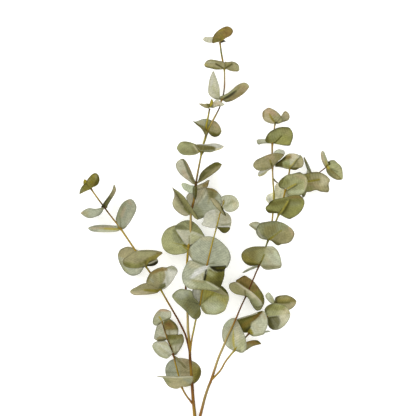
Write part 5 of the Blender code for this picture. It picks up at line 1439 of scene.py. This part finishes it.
        tip=(289.5, 153.8),
        rims=(at(287, 169.3, 283, 168.4, 278, 167.4, 274.5, 167, 275.2, 164.4, 278, 161.9, 281, 159.6,
        284, 156.9, 286.5, 154.8), at(292.3, 166.3, 294.8, 162.8, 296.8, 159.8, 299.3, 156.6, 297.2, 154.8,
        293.5, 153.8)),
        patches=(Patch(at(288, 155, 297, 155, 298, 157, 291, 161), CREAM, 0.9, blur=2), Patch(at(291, 155.5,
        294, 155.2), ROSE, 0.4, 1, 1.5), Patch(at(284, 164, 290, 166, 289, 169, 283, 168), GREEN, 0.9,
        blur=2), Patch(at(284, 163, 287, 163.5), MEADOW, 0.6, 1.2, 1.5), Patch(at(285, 156.5, 290, 155.3,
        290.5, 158, 284, 160), BRONZE, 0.95, blur=1.6), Patch(at(275, 164.5, 281, 159.5, 285, 157, 284, 160,
        281.5, 162.5, 282, 167, 275, 167), MOSS, 0.95, blur=1.2), Patch(at(276, 164.5, 281, 160.3,
        284, 158), INK, 0.7, 0.9), Patch(at(275.5, 166.3, 280, 166), INK, 0.6, 0.9), Patch(at(278, 167.3,
        286, 168.7), GREY, 0.8, 0.4), Patch(at(290, 167.5, 293, 165, 295.5, 161.5, 297, 159.8), YELLOW,
        0.75, 1.2), Patch(at(291.5, 166.8, 294, 163.6, 296, 160.6), FERN, 0.8, 0.4))),
    Leaf((289.5, 168.3), 22, 28, pitch=12, left=-20, right=15, curl=12, tones=(KHAKI, KHAKI),
        tip=(299.7, 155.4),
        rims=(at(291.5, 165.5, 294.2, 162, 296.3, 159, 298.2, 156.2), at(291, 169.6, 295, 170.3,
        297.3, 169.3, 298.6, 168.3, 301, 167.6, 302.5, 165.6, 303.1, 162.5, 302.6, 159.6, 301.4, 157)),
        patches=(Patch(at(298, 160, 301.5, 164), BEIGE, 0.6, 1.3, 2), Patch(at(299.5, 157, 300, 159), SAGE,
        0.7, 0.8, 1.5), Patch(at(290.5, 168, 293.5, 165.3, 296, 161.5, 298.5, 157), FERN, 0.9, 1),
        Patch(at(290.5, 168.8, 294, 169.2, 297, 168.5), MOSS, 0.95, 0.9), Patch(at(297, 163, 298, 167),
        OLIVE, 0.5, 1.2, 1.5))),
)
RIGHT_STEM = Shoot(
    name="right_stem",
    slot="woody_stem",
    route=(
        (195.6, 434, 3.4, 3.8, TAN), (200.5, 416, 5, 3.8, RUST), (204.5, 400, 7.5, 3.6, TAN),
        (208, 389, 9.5, 3.5, TAN), (211.5, 380, 11, 3.6, RUST), (218, 360, 13, 3, HONEY),
        (223, 348, 14, 3, HONEY), (228, 336, 15, 2.4, HONEY), (232.5, 327, 16.2, 2.2, OCHRE),
        (236, 319, 17.5, 2.3, RUST), (240.5, 308, 19.3, 1.9, BROWN), (246, 296, 21, 1.9, DARK),
        (250, 287, 22, 1.9, BROWN), (256, 272.5, 24, 1.9, BROWN), (259.5, 264.5, 25, 2.3, DARK),
        (264, 252, 26.5, 2, REED), (268, 240, 28, 2.1, REED), (273, 228, 30, 1.9, REED),
        (276.8, 218.5, 31.4, 2.1, STRAW), (278.5, 214, 32, 2.2, STRAW), (282.3, 201, 33, 1.9, GOLD),
        (285.3, 189, 33.5, 2.5, GOLD), (288.2, 176, 33.5, 2, OCHRE), (289.5, 168, 33, 1.8, STRAW),
    ),
    leaves=RIGHT_STEM_LEAVES,
)

RIGHT_TOP_SHOOT_LEAVES = (
    Leaf((272.5, 168), 34, 46, pitch=8, left=0, right=0, curl=8, tones=(KHAKI, TAUPE), tip=(265.5, 155.8),
        rims=(at(270, 168, 267.5, 168.9, 265.5, 170.1, 262, 170.9, 259, 170.8, 256, 169.6, 253.8, 167.6,
        253, 165.2, 254.1, 162.2, 257, 159.6, 261, 157.8), at(273.7, 166.8, 275, 164, 277.5, 161.5,
        280.5, 159.3, 282.7, 157, 283.9, 155, 280.5, 153.5, 276, 153.1, 271.5, 153.8)),
        patches=(Patch(at(262, 165, 268, 168, 263, 169), OLIVE, 0.5, blur=2), Patch(at(257, 162, 264, 163),
        KHAKI, 0.4, 2, 3), Patch(at(266, 156.5, 273, 155, 274, 160, 267, 159), ROSE, 0.35, blur=2.5),
        Patch(at(276, 155, 282, 155, 278, 160), MUSTARD, 0.4, blur=2.5), Patch(at(256, 160.3, 264, 156.8),
        FERN, 0.7, 0.7), Patch(at(266, 155.8, 270.5, 154.5), RUSSET, 0.5, 0.6), Patch(at(266, 161,
        267.5, 167), LIME, 0.3, 0.5), Patch(at(256.5, 168.5, 262, 169.8, 268, 168), FERN, 0.6, 0.5),
        Patch(at(270, 160.5, 271.2, 164), STEM_OLIVE, 0.9, 0.7), Patch(at(271.2, 164, 272.7, 168.3), MOSS,
        0.95, 0.9))),
    Leaf((272.5, 168), 33, 30, pitch=-20, left=0, right=0, curl=6, tones=(BLOOM, BLOOM), tip=(281, 149.3),
        rim_shade=0.3,
        rims=(at(272, 160, 272.8, 155, 274.2, 151.9, 276.5, 150, 279, 149.2), at(276, 164, 280, 159,
        283, 155.5, 285.3, 153.4, 284.6, 151, 283, 149.8)),
        patches=(Patch(at(275.5, 151.5, 281, 151.7), MINT, 0.9, 1.2, 1.5), Patch(at(281, 153.8, 284, 154.3),
        LIME, 0.8, 0.6))),
    Leaf((272.5, 168), 20, 16, pitch=-30, left=0, right=0, tones=(CHAFF, BLOOM), tip=(258, 175.3),
        rim_shade=0.3,
        rims=(at(269, 170, 267, 171.8, 265.3, 174, 262.5, 175.6, 259.8, 176.5), at(266, 168, 261, 170.4,
        258.6, 172.5)),
        patches=(Patch(at(266, 172, 263.5, 174.6, 259, 175.8), SAGE, 0.7, 0.6),)),
    Leaf((272.5, 143.5), 33, 30, pitch=14, left=14, right=20, curl=10, tones=(GREEN, GREEN),
        tip=(290.8, 129.9), rim_shade=0.6,
        rims=(at(270, 143, 266.7, 142.6, 265.2, 140.3, 266.1, 137, 267.5, 134.4, 270, 131.7, 273.5, 129.8,
        277, 128.2, 281, 127.3, 285.5, 127.2, 289, 127.8), at(274.5, 143.3, 278, 144.4, 282, 145.3,
        286, 145.9, 289.6, 145.6, 291, 142.5, 292.3, 139, 292.7, 135.5, 292, 132.1)),
        patches=(Patch(at(280, 129.5, 289, 130, 290, 136, 283, 133), TAUPE, 0.5, blur=2.5),
        Patch(at(270, 134, 280, 131, 282, 135, 272, 139), SAGE, 0.4, blur=3), Patch(at(284, 143,
        289, 142.5), FRESH, 0.7, 1.3, 2), Patch(at(278, 138, 286, 137, 286, 141), FRESH, 0.4, blur=2),
        Patch(at(267, 135.5, 266.2, 141, 269, 142.3), DARK_OLIVE, 0.9, 1, 1.2), Patch(at(268, 134.5,
        273.5, 130.3, 277, 129), FERN, 0.7, 0.6), Patch(at(277, 128.6, 283, 128, 289.5, 128.3), DARK_OLIVE,
        0.6, 0.6), Patch(at(281, 145, 288.5, 145.2), FERN, 0.7, 0.4), Patch(at(275, 142.8, 278.2, 139.6,
        281.3, 136.2), MOSS, 0.95, 0.6, 0.6), Patch(at(273.3, 143.8, 274.3, 142.6), INK, 0.8, 0.5),
        Patch(at(276, 130, 276.5, 132), FERN, 0.6, 0.5))),
    Leaf((272.5, 143.5), 22, 20, pitch=-22, left=-60, right=-60, tones=(PALE, PALE), tip=(256.9, 140.3),
        rim_shade=0.55,
        rims=(at(266, 143, 262, 143.3, 259, 144.1, 257.6, 142.8), at(268, 139, 264.5, 138.9, 260.5, 138.9,
        258, 139.3)),
        patches=(Patch(at(258, 139.6, 266, 139.5), SAGE, 0.7, 0.5), Patch(at(258, 143, 266, 142.7), SAGE,
        0.8, 0.5))),
    Leaf((275.3, 123), 24, 24, pitch=10, left=25, right=20, curl=15, tones=(BEIGE, KHAKI),
        tip=(268.7, 107.6), rim_shade=0.4,
        rims=(at(272.5, 123.7, 268, 122.7, 264.5, 120.9, 262.7, 118, 262.2, 115, 262.5, 112.3, 263.7, 110.6,
        266, 108.9), at(277.5, 123.7, 280.5, 123, 282.5, 121.6, 282.2, 118.8, 280.7, 116.2, 278.7, 113.6,
        275.6, 110.9, 272, 108.9)),
        patches=(Patch(at(265, 111, 269, 109, 275, 112, 276, 115, 267, 114), ROSE, 0.75, blur=2),
        Patch(at(267, 108.9, 269, 108.6), RUSSET, 0.5, 0.7), Patch(at(263.3, 112, 263.5, 116.5), BRONZE,
        0.85, 0.8), Patch(at(266, 114, 268, 117), TAUPE, 0.5, 1, 1.5), Patch(at(276, 118, 281, 120), LIME,
        0.6, 1.5, 2), Patch(at(266, 121.8, 271, 122.8), SAGE, 0.7, 0.5), Patch(at(278, 123, 281.5, 122.3),
        GREEN, 0.8, 0.6), Patch(at(275, 122.5, 272, 119.8, 270.2, 117, 269.4, 114), STEM_OLIVE, 0.9, 0.7),
        Patch(at(275.8, 122.3, 277, 122.6), INK, 0.95, 0.8))),
    Leaf((275.3, 123), 24, 18, pitch=5, left=46, right=-52, curl=6, skew=0.2, tones=(KHAKI, BEIGE),
        tip=(285.6, 111), rim_shade=0.4,
        rims=(at(278, 120.5, 280.7, 117.3, 282.2, 114.5, 283.8, 112.1), at(279, 123.3, 281.5, 122.4,
        284.5, 121.3, 288, 120.1, 289.6, 118.2, 289.9, 115.9, 289, 113.4, 287.3, 111.7)),
        patches=(Patch(at(287, 115, 288.5, 118), BEIGE, 0.7, 1, 1.5), Patch(at(282, 118, 286, 119), SAGE,
        0.7, 1, 1.5), Patch(at(281, 121.7, 286, 120.4), DARK_OLIVE, 0.8, 0.8), Patch(at(284.8, 111.8,
        286.5, 112), BRONZE, 0.6, 0.7))),
)
RIGHT_TOP_SHOOT = Shoot(
    name="right_top_shoot",
    slot="green_stem",
    route=(
        (268.4, 239, 28.4, 1.8, GOLD), (271, 228, 27, 1.9, GOLD), (272.5, 216, 26, 2, GOLD),
        (273.8, 198, 26, 2.6, STRAW), (273.6, 190, 25.6, 2, STRAW), (272.8, 180, 25, 2.2, HONEY),
        (272.5, 168, 23, 1.8, TAN), (272.2, 153, 21, 2.3, TAN), (272.5, 143.5, 20, 2.1, OCHRE),
        (274.3, 129, 19, 1.5, OCHRE), (275.3, 123, 18.5, 1.7, REED),
    ),
    leaves=RIGHT_TOP_SHOOT_LEAVES,
)

FAR_RIGHT_SHOOT_LEAVES = (
    Leaf((305, 182), 35, 30, pitch=9, left=20, right=-5, curl=4, tones=(TAUPE, TAUPE), tip=(329.9, 180.3),
        rims=(at(301, 180, 296, 176, 293, 174.2, 296, 172.8, 300, 172.1, 303, 173.8, 307, 173.2, 312, 172.2,
        317, 171.9, 321, 172.9, 325.5, 175.1, 328.4, 177.7), at(302, 186, 301.5, 192, 302.3, 196.6,
        303.8, 197.6, 305.4, 195, 306, 192.3, 310.5, 191.9, 314, 190.5, 317, 190.2, 320.5, 191.6,
        325, 192.2, 328, 192.4, 329.3, 189.8, 328.3, 187.4, 327, 186, 328.6, 183.3)),
        patches=(Patch(at(321, 176, 328, 179, 328, 184, 321, 185), CREAM, 0.7, blur=3), Patch(at(322, 187,
        328, 189, 322, 190.5), KHAKI, 0.8, blur=2), Patch(at(304, 174.5, 310, 174, 309, 180, 304, 181),
        MUSTARD, 0.7, blur=1.5), Patch(at(312, 174, 319, 175), SAGE, 0.5, 1.3, 2), Patch(at(306, 186,
        313, 187, 312, 191, 306, 191.5), GREEN, 0.7, blur=2), Patch(at(314, 184, 319, 187), ROSE, 0.25, 1.6,
        2.5), Patch(at(311, 173, 320, 173), OLIVE, 0.8, 0.6), Patch(at(293, 173.6, 300, 172.8, 303, 174.5),
        FERN, 0.9, 1), Patch(at(304, 191, 303.5, 196.5), FERN, 0.9, 1.5), Patch(at(306, 191.5, 311, 191.3,
        315, 190.2), FERN, 0.6, 0.5), Patch(at(306, 183.8, 312, 183.8), BRONZE, 0.5, 0.8),
        Patch(at(304, 182.4, 311, 180.8, 319.5, 179.4), STEM_OLIVE, 0.9, 0.9), Patch(at(328, 178.5,
        329.5, 180.5, 328, 183.5), TAUPE, 0.8, 0.4))),
    Leaf((313.5, 177.5), 31, 24, pitch=-5, left=-78, right=-78, curl=4, tones=(FERN, FERN),
        tip=(304.2, 156.6), pointed=True,
        rims=(at(310, 176, 307.3, 173, 308, 169.8, 306.6, 165.5, 305.2, 161.3, 304.3, 158.5), at(313, 174.5,
        311.2, 169, 309.2, 164.3, 306.9, 160.3, 305.3, 157.8)),
        patches=(Patch(at(308.2, 171, 309.5, 174), PALE, 0.9, 1.2), Patch(at(307.5, 165, 309.5, 169), SHADOW_GREY,
        0.7, 0.6), Patch(at(304.7, 158.5, 306, 161), OLIVE, 0.8, 0.6))),
    Leaf((327.5, 165.5), 21, 18, pitch=8, left=-54, right=62, tones=(CREAM, PALE), tip=(322.3, 150.8),
        rim_shade=0.35,
        rims=(at(325.8, 167, 324, 164.3, 322.2, 160, 321.3, 156, 320.9, 153), at(328.4, 164, 327.2, 160.4,
        325.6, 156.5, 324.7, 153.5, 323.7, 151.5)),
        patches=(Patch(at(322.3, 155, 323.2, 161), ROSE, 0.45, 0.8, 1.2), Patch(at(324, 154, 326, 161),
        LIME, 0.7, 0.6), Patch(at(323.4, 161.5, 325, 165.3), OLIVE, 0.5, 0.4), Patch(at(326, 161.5,
        327.5, 166), YELLOW, 0.8, 1, 1.2), Patch(at(326.5, 166.5, 328.2, 165), STEM_OLIVE, 1, 1))),
    Leaf((327.5, 165.5), 26, 26, pitch=5, left=20, right=20, curl=12, tones=(LIME, OLIVE),
        tip=(342.4, 179.1), rim_shade=0.4,
        rims=(at(328.4, 163, 329.2, 160.9, 331.5, 160.1, 334.5, 160.3, 337, 162.6, 339.8, 165.1, 341.7, 168,
        342.5, 172, 342.9, 176.5), at(326.3, 168, 326.4, 171, 327.9, 173.9, 330.3, 176.4, 333.5, 178.5,
        337, 179.8, 340.3, 179.8)),
        patches=(Patch(at(328, 168, 333, 170, 334, 175, 329, 173), OLIVE, 0.6, blur=2), Patch(at(333, 175,
        337, 177.5), TAUPE, 0.7, 1.5, 2), Patch(at(331, 162, 335, 162.5), SAGE, 0.7, 1, 1.5),
        Patch(at(339, 168, 341.5, 174), BEIGE, 0.4, 1, 2), Patch(at(327, 170.5, 330, 175, 335, 178.4), FERN,
        0.8, 0.6), Patch(at(329, 168, 333, 169.3, 337.3, 171.7), FERN, 0.8, 0.6), Patch(at(326.8, 165.5,
        328.8, 168), YELLOW, 0.8, 1.3))),
    Leaf((327.5, 165.5), 8, 5, pitch=20, left=20, right=20, tones=(MOSS, MOSS), tip=(328.6, 161.2),
        rims=(at(327.4, 164, 327.6, 162), at(329.3, 165.5, 330.3, 164.8, 330, 162.6)),
        patches=(Patch(at(329, 163, 328.6, 165), FRESH, 0.8, 0.4),)),
)
FAR_RIGHT_SHOOT = Shoot(
    name="far_right_shoot",
    slot="green_stem",
    route=(
        (273, 178.5, 25, 1.5, REED), (278, 183, 21, 1.4, BROWN), (290, 186, 17, 1.4, TAN),
        (305, 182, 16, 1.7, STRAW), (314, 177, 16.5, 1.4, BROWN), (320, 172, 17, 1.3, BROWN),
        (327.3, 166.5, 18, 1.6, DARK),
    ),
    leaves=FAR_RIGHT_SHOOT_LEAVES,
)

RIGHT_LOWER_SHOOT_LEAVES = (
    Leaf((235, 349.5), 43, 44, pitch=-15, bend=-25, left=-45, right=64, curl=4, tones=(PALE, PALE),
        tip=(235.3, 318.8), spine=at(233.5, 340, 234.5, 328),
        rims=(at(232.5, 350, 229, 348.4, 226, 345.8, 223.5, 342, 222.3, 337, 222.5, 331.5, 224, 326.5,
        226.8, 322.8, 230, 320.2, 232.5, 318.9), at(237, 350.9, 240.5, 352.1, 243.5, 351.3, 245.7, 348.3,
        246.3, 344, 245.7, 339, 244.1, 333.8, 241.8, 329, 239.5, 324.5, 237.3, 320.2)),
        patches=(Patch(at(226, 325, 230, 322), MINT, 0.8, 2.6, 2.5), Patch(at(228, 338, 231, 328), BEIGE,
        0.3, 1.5, 2.5), Patch(at(236, 326, 240, 334, 239, 342, 235.5, 340), CREAM, 0.6, blur=2.5),
        Patch(at(237, 322, 238.5, 328), ROSE, 0.3, 1, 1.5), Patch(at(240, 339, 245.5, 338, 245, 347,
        241, 351, 238, 348), LIME, 0.7, blur=2.5), Patch(at(237, 346, 240, 350), SAGE, 0.6, 1.3, 1.5),
        Patch(at(231, 348, 230.5, 342, 231.8, 336), SAGE, 0.7, 1.2, 1.5), Patch(at(235, 349.5, 233.3, 346,
        232.6, 340, 233.5, 330), YELLOW, 0.75, 0.4, 0.6), Patch(at(235.5, 349.6, 240, 350.6), FERN, 0.8,
        0.7))),
    Leaf((235, 349.5), 38, 34, pitch=-32, left=0, right=0, curl=6, tones=(BRONZE, OLIVE),
        tip=(261.6, 344.8), pointed=True,
        rims=(at(239, 345.5, 246, 342.3, 251, 340.9, 255, 340.7, 258.6, 341.6), at(240, 351.3, 245, 351,
        249, 348.9, 253, 346.7, 257.5, 345.6)),
        patches=(Patch(at(246.5, 347, 250, 346), SAGE, 0.6, 1.5, 2), Patch(at(250, 343, 256, 342.8), RUSSET,
        0.4, 0.8, 1.2), Patch(at(255.5, 341.4, 258.5, 342.4, 261, 344.4), MOSS, 0.85, 0.6),
        Patch(at(248, 349, 254, 346, 258, 345.4), FERN, 0.6, 0.5))),
    # painted shade: the dark olive left half and its moss patches are the shaded inside of the cupped blade
    Leaf((249, 333), 38, 46, pitch=15, left=15, right=32, curl=12, tones=(DARK_OLIVE, PALE),
        tip=(262.6, 310), spine=at(251, 325, 258, 316),
        rims=(at(247.3, 332.2, 245.5, 331.3, 243.5, 332, 242, 329, 240, 325, 238, 320.8, 236.9, 318.2,
        242, 316.1, 249, 314.1, 256, 311.7), at(250.5, 334.4, 253, 335.7, 256.5, 335.4, 260, 334.4,
        263.5, 333, 264.3, 330.5, 265.9, 327, 267, 323, 266.9, 318.5, 266, 314.5, 264.5, 311.4)),
        patches=(Patch(at(252, 322, 256, 319.5, 263, 316, 264, 312, 267, 318, 266, 328, 262, 334, 254, 335,
        251.5, 328), PALE, 1, blur=2), Patch(at(254, 324, 258, 328), BEIGE, 0.4, 1.8, 2.5),
        Patch(at(262.5, 312, 264.5, 317), BEIGE, 0.8, 0.9, 1.2), Patch(at(238, 319, 244, 318, 246, 330,
        243, 331), MOSS, 0.6, blur=2), Patch(at(240, 323.5, 243, 330, 247.5, 330.5), MOSS, 0.95, 1.4, 1.5),
        Patch(at(244.5, 331, 248.5, 330.5, 249.8, 326), INK, 0.7, 0.9), Patch(at(238.5, 318.8, 247, 317.5,
        254, 315, 261, 311.2), MOSS, 0.85, 1, 1.2), Patch(at(243, 325, 250, 320.5, 258, 315.5), UMBER, 0.7,
        1.8, 2.5), Patch(at(254, 316.5, 261, 312.5), RUSSET, 0.6, 1.2, 1.5), Patch(at(248.5, 332.5,
        250.5, 329.5, 252, 333), STEM_OLIVE, 0.95, 1.3, 1.2), Patch(at(253, 334.8, 258, 334, 263.5, 332),
        SAGE, 0.8, 0.7, 1.2), Patch(at(249.5, 333.7, 252.5, 334.8), MOSS, 0.9, 0.5), Patch(at(238, 317.4,
        246, 315, 256, 311.9), STONE, 0.95, 0.9, 0.6))),
    Leaf((249, 333), 30, 28, pitch=-5, left=-70, right=-70, tones=(GREY, GREY), tip=(270.6, 330.9),
        pointed=True,
        rims=(at(256, 331.4, 264, 331.2, 268, 330.6), at(257, 333.6, 264, 333.1, 268, 332))),
    # painted shade: the moss and dark olive patches over its lower half are shade on the folded blade
    Leaf((267, 316), 34, 38, pitch=20, left=15, right=15, curl=15, tones=(LIME, PALE), tip=(289.5, 313),
        rims=(at(265.5, 313, 264.2, 309.3, 265.8, 306.3, 269, 303.8, 273, 302.6, 278, 302.8, 282.5, 303.9,
        286, 306.1, 288.3, 309.3), at(267.2, 319, 267.1, 322.5, 268.4, 326, 271, 328.4, 274.5, 329.1,
        278.5, 328.1, 282.5, 325.6, 285.9, 322, 288.3, 318.3, 289.4, 315.5)),
        patches=(Patch(at(280, 309, 287, 308, 288, 316, 282, 324, 279, 318), CREAM, 0.6, blur=3),
        Patch(at(265, 307, 272, 303.5, 284, 305, 284, 309, 268, 309.5), GREEN, 0.8, blur=1.5),
        Patch(at(265, 309.5, 266, 306.8, 271, 304), DARK_OLIVE, 0.8, 1.6, 1.5), Patch(at(272, 305,
        276, 309), DARK_OLIVE, 0.35, 1.2, 2), Patch(at(265, 308.5, 267, 313), FERN, 0.85, 1),
        Patch(at(268, 312, 276, 311), LIME, 0.6, 1.3, 1.5), Patch(at(284, 308.5, 287, 311.5), ROSE, 0.3,
        1.2, 2), Patch(at(267.5, 316.8, 278, 315.6, 279.5, 321, 277, 328, 271, 328, 268, 325), MOSS, 0.75,
        blur=1.3), Patch(at(268.2, 317.5, 276, 316.4), MOSS, 0.8, 0.7), Patch(at(269, 319, 269.5, 325,
        272.5, 327.5), MOSS, 0.75, 1.4, 1.5), Patch(at(275, 319, 277.5, 322), DARK_OLIVE, 0.5, 1, 1.5),
        Patch(at(279, 326, 284, 322.5), LIME, 0.5, 0.8, 1.5))),
    Leaf((274, 303), 31, 26, pitch=-20, left=20, right=-10, curl=8, tones=(OLIVE, KHAKI),
        tip=(296.5, 301.6),
        rims=(at(274.6, 300.5, 275.1, 297.2, 278, 295.5, 282, 294.9, 286.5, 294.9, 291, 296.5,
        294.6, 298.9), at(276, 303.8, 280, 305.2, 284, 306.6, 286.5, 309.4, 288.9, 309.9, 292, 308.4,
        295.1, 305.3)),
        patches=(Patch(at(281, 296.5, 287, 298), KHAKI, 0.6, 2.5, 2.5), Patch(at(279, 300, 288, 299.5),
        YELLOW, 0.35, 1.8, 2.5), Patch(at(291, 299, 295, 302), BRONZE, 0.3, 1.6, 2), Patch(at(286, 306,
        292, 304, 293, 307, 288, 309), BEIGE, 0.4, blur=1.5), Patch(at(291.5, 304.5, 294, 304), ROSE, 0.3,
        0.8), Patch(at(277, 302.4, 283, 303, 289, 302.3), DARK_OLIVE, 0.9, 0.9), Patch(at(276, 296.8,
        278.5, 296), MOSS, 0.7, 0.8), Patch(at(275.6, 297.5, 276, 302), INK, 0.7, 0.8))),
    Leaf((274, 303), 17, 12, pitch=10, left=30, right=-30, tones=(PALE, PALE), tip=(267.8, 292),
        rim_shade=0.3,
        rims=(at(272, 303.4, 269.4, 302, 267.1, 299.5, 265.5, 296.8, 265.3, 294.3), at(274.4, 300.8,
        272.8, 297.2, 271, 294.4, 269.5, 292.6)),
        patches=(Patch(at(271, 299, 273.5, 302), LIME, 0.8, 1.2, 1.5), Patch(at(267.5, 294, 268.5, 296),
        MINT, 0.6, 0.8))),
)
RIGHT_LOWER_SHOOT = Shoot(
    name="right_lower_shoot",
    slot="woody_stem",
    route=(
        (211.3, 380.6, 10.8, 2.3, OCHRE), (216, 376, 13, 2.3, OCHRE), (221, 370, 16, 2.3, OCHRE),
        (226, 361, 20, 2.1, OCHRE), (235, 349.5, 26, 2.3, STRAW), (249, 333, 30, 2, DARK),
        (267, 316, 31, 1.8, OCHRE), (274, 303, 31, 1.4, OCHRE),
    ),
    leaves=RIGHT_LOWER_SHOOT_LEAVES,
)

SHOOTS = (
    MAIN_STEM,
    TALL_SIDE_SPRIG,
    LEFT_SHOOT,
    SHORT_MIDDLE_SHOOT,
    LOWER_LEFT_SHOOT,
    RIGHT_STEM,
    RIGHT_TOP_SHOOT,
    FAR_RIGHT_SHOOT,
    RIGHT_LOWER_SHOOT,
)


@dataclass(frozen=True)
class Studio:
    """A white sheet of paper, soft light from all round and a long lens straight above."""

    floor_side: float = 6.0
    sky: float = 1.25
    key_power: float = 26.0
    key_side: float = 3.0
    key_place: tuple[float, float, float] = (-1.3, 1.5, 2.4)
    lens: float = 150.0
    sensor: float = 36.0
    aim_height: float = 22.0 * MM

    def build(self) -> None:
        """Lays the floor, hangs the lights and sets the camera."""
        self.lay_floor()
        self.hang_lights()
        self.set_camera()

    def lay_floor(self) -> None:
        """Lays the paper under the branch."""
        bm = bmesh.new()
        bmesh.ops.create_grid(bm, x_segments=1, y_segments=1, size=0.5 * self.floor_side)
        mesh = bpy.data.meshes.new("studio_floor")
        bm.to_mesh(mesh)
        bm.free()
        mesh.materials.append(PaperFinish().make())
        floor = bpy.data.objects.new("studio_floor", mesh)
        bpy.context.scene.collection.objects.link(floor)

    def hang_lights(self) -> None:
        """Lights the room evenly, with one soft box from the upper left."""
        world = bpy.data.worlds.new("soft_room")
        world.use_nodes = True
        sky = world.node_tree.nodes["Background"]
        sky.inputs["Color"].default_value = (1.0, 1.0, 1.0, 1.0)
        sky.inputs["Strength"].default_value = self.sky
        bpy.context.scene.world = world
        light = bpy.data.lights.new("soft_box", "AREA")
        light.shape = "SQUARE"
        light.size = self.key_side
        light.energy = self.key_power
        box = bpy.data.objects.new("soft_box", light)
        box.location = self.key_place
        box.rotation_euler = (-Vector(self.key_place)).to_track_quat("-Z", "Y").to_euler()
        bpy.context.scene.collection.objects.link(box)
        bpy.context.scene.view_settings.view_transform = "Standard"

    def set_camera(self) -> None:
        """Looks straight down at the middle of the drawing, which fills the frame."""
        lens = bpy.data.cameras.new("camera")
        lens.lens = self.lens
        lens.sensor_width = self.sensor
        lens.clip_end = 100.0
        camera = bpy.data.objects.new("camera", lens)
        distance = DRAWING_SIDE * self.lens / self.sensor
        middle = placed(*DRAWING_MIDDLE, 0.0)
        camera.location = (middle.x, middle.y, self.aim_height + distance)
        bpy.context.scene.collection.objects.link(camera)
        bpy.context.scene.camera = camera


def main() -> None:
    """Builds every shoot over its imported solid, then the studio, and notes the sizes."""
    logging.basicConfig(level=logging.INFO, format="%(name)s: %(message)s")
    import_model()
    finishes = Finishes(
        upper=LeafFinish("eucalyptus_leaf_upper_waxed", bloom_share=0.0).make(),
        lower=LeafFinish("eucalyptus_leaf_lower_waxed", bloom_share=0.08).make(),
        bark=BarkFinish("eucalyptus_bark_smooth").make(),
    )
    for shoot in SHOOTS:
        for piece in shoot.build(finishes):
            LOG.info("%s: %d faces", piece.name, len(piece.data.polygons))
    Studio().build()


if __name__ == "__main__":
    main()
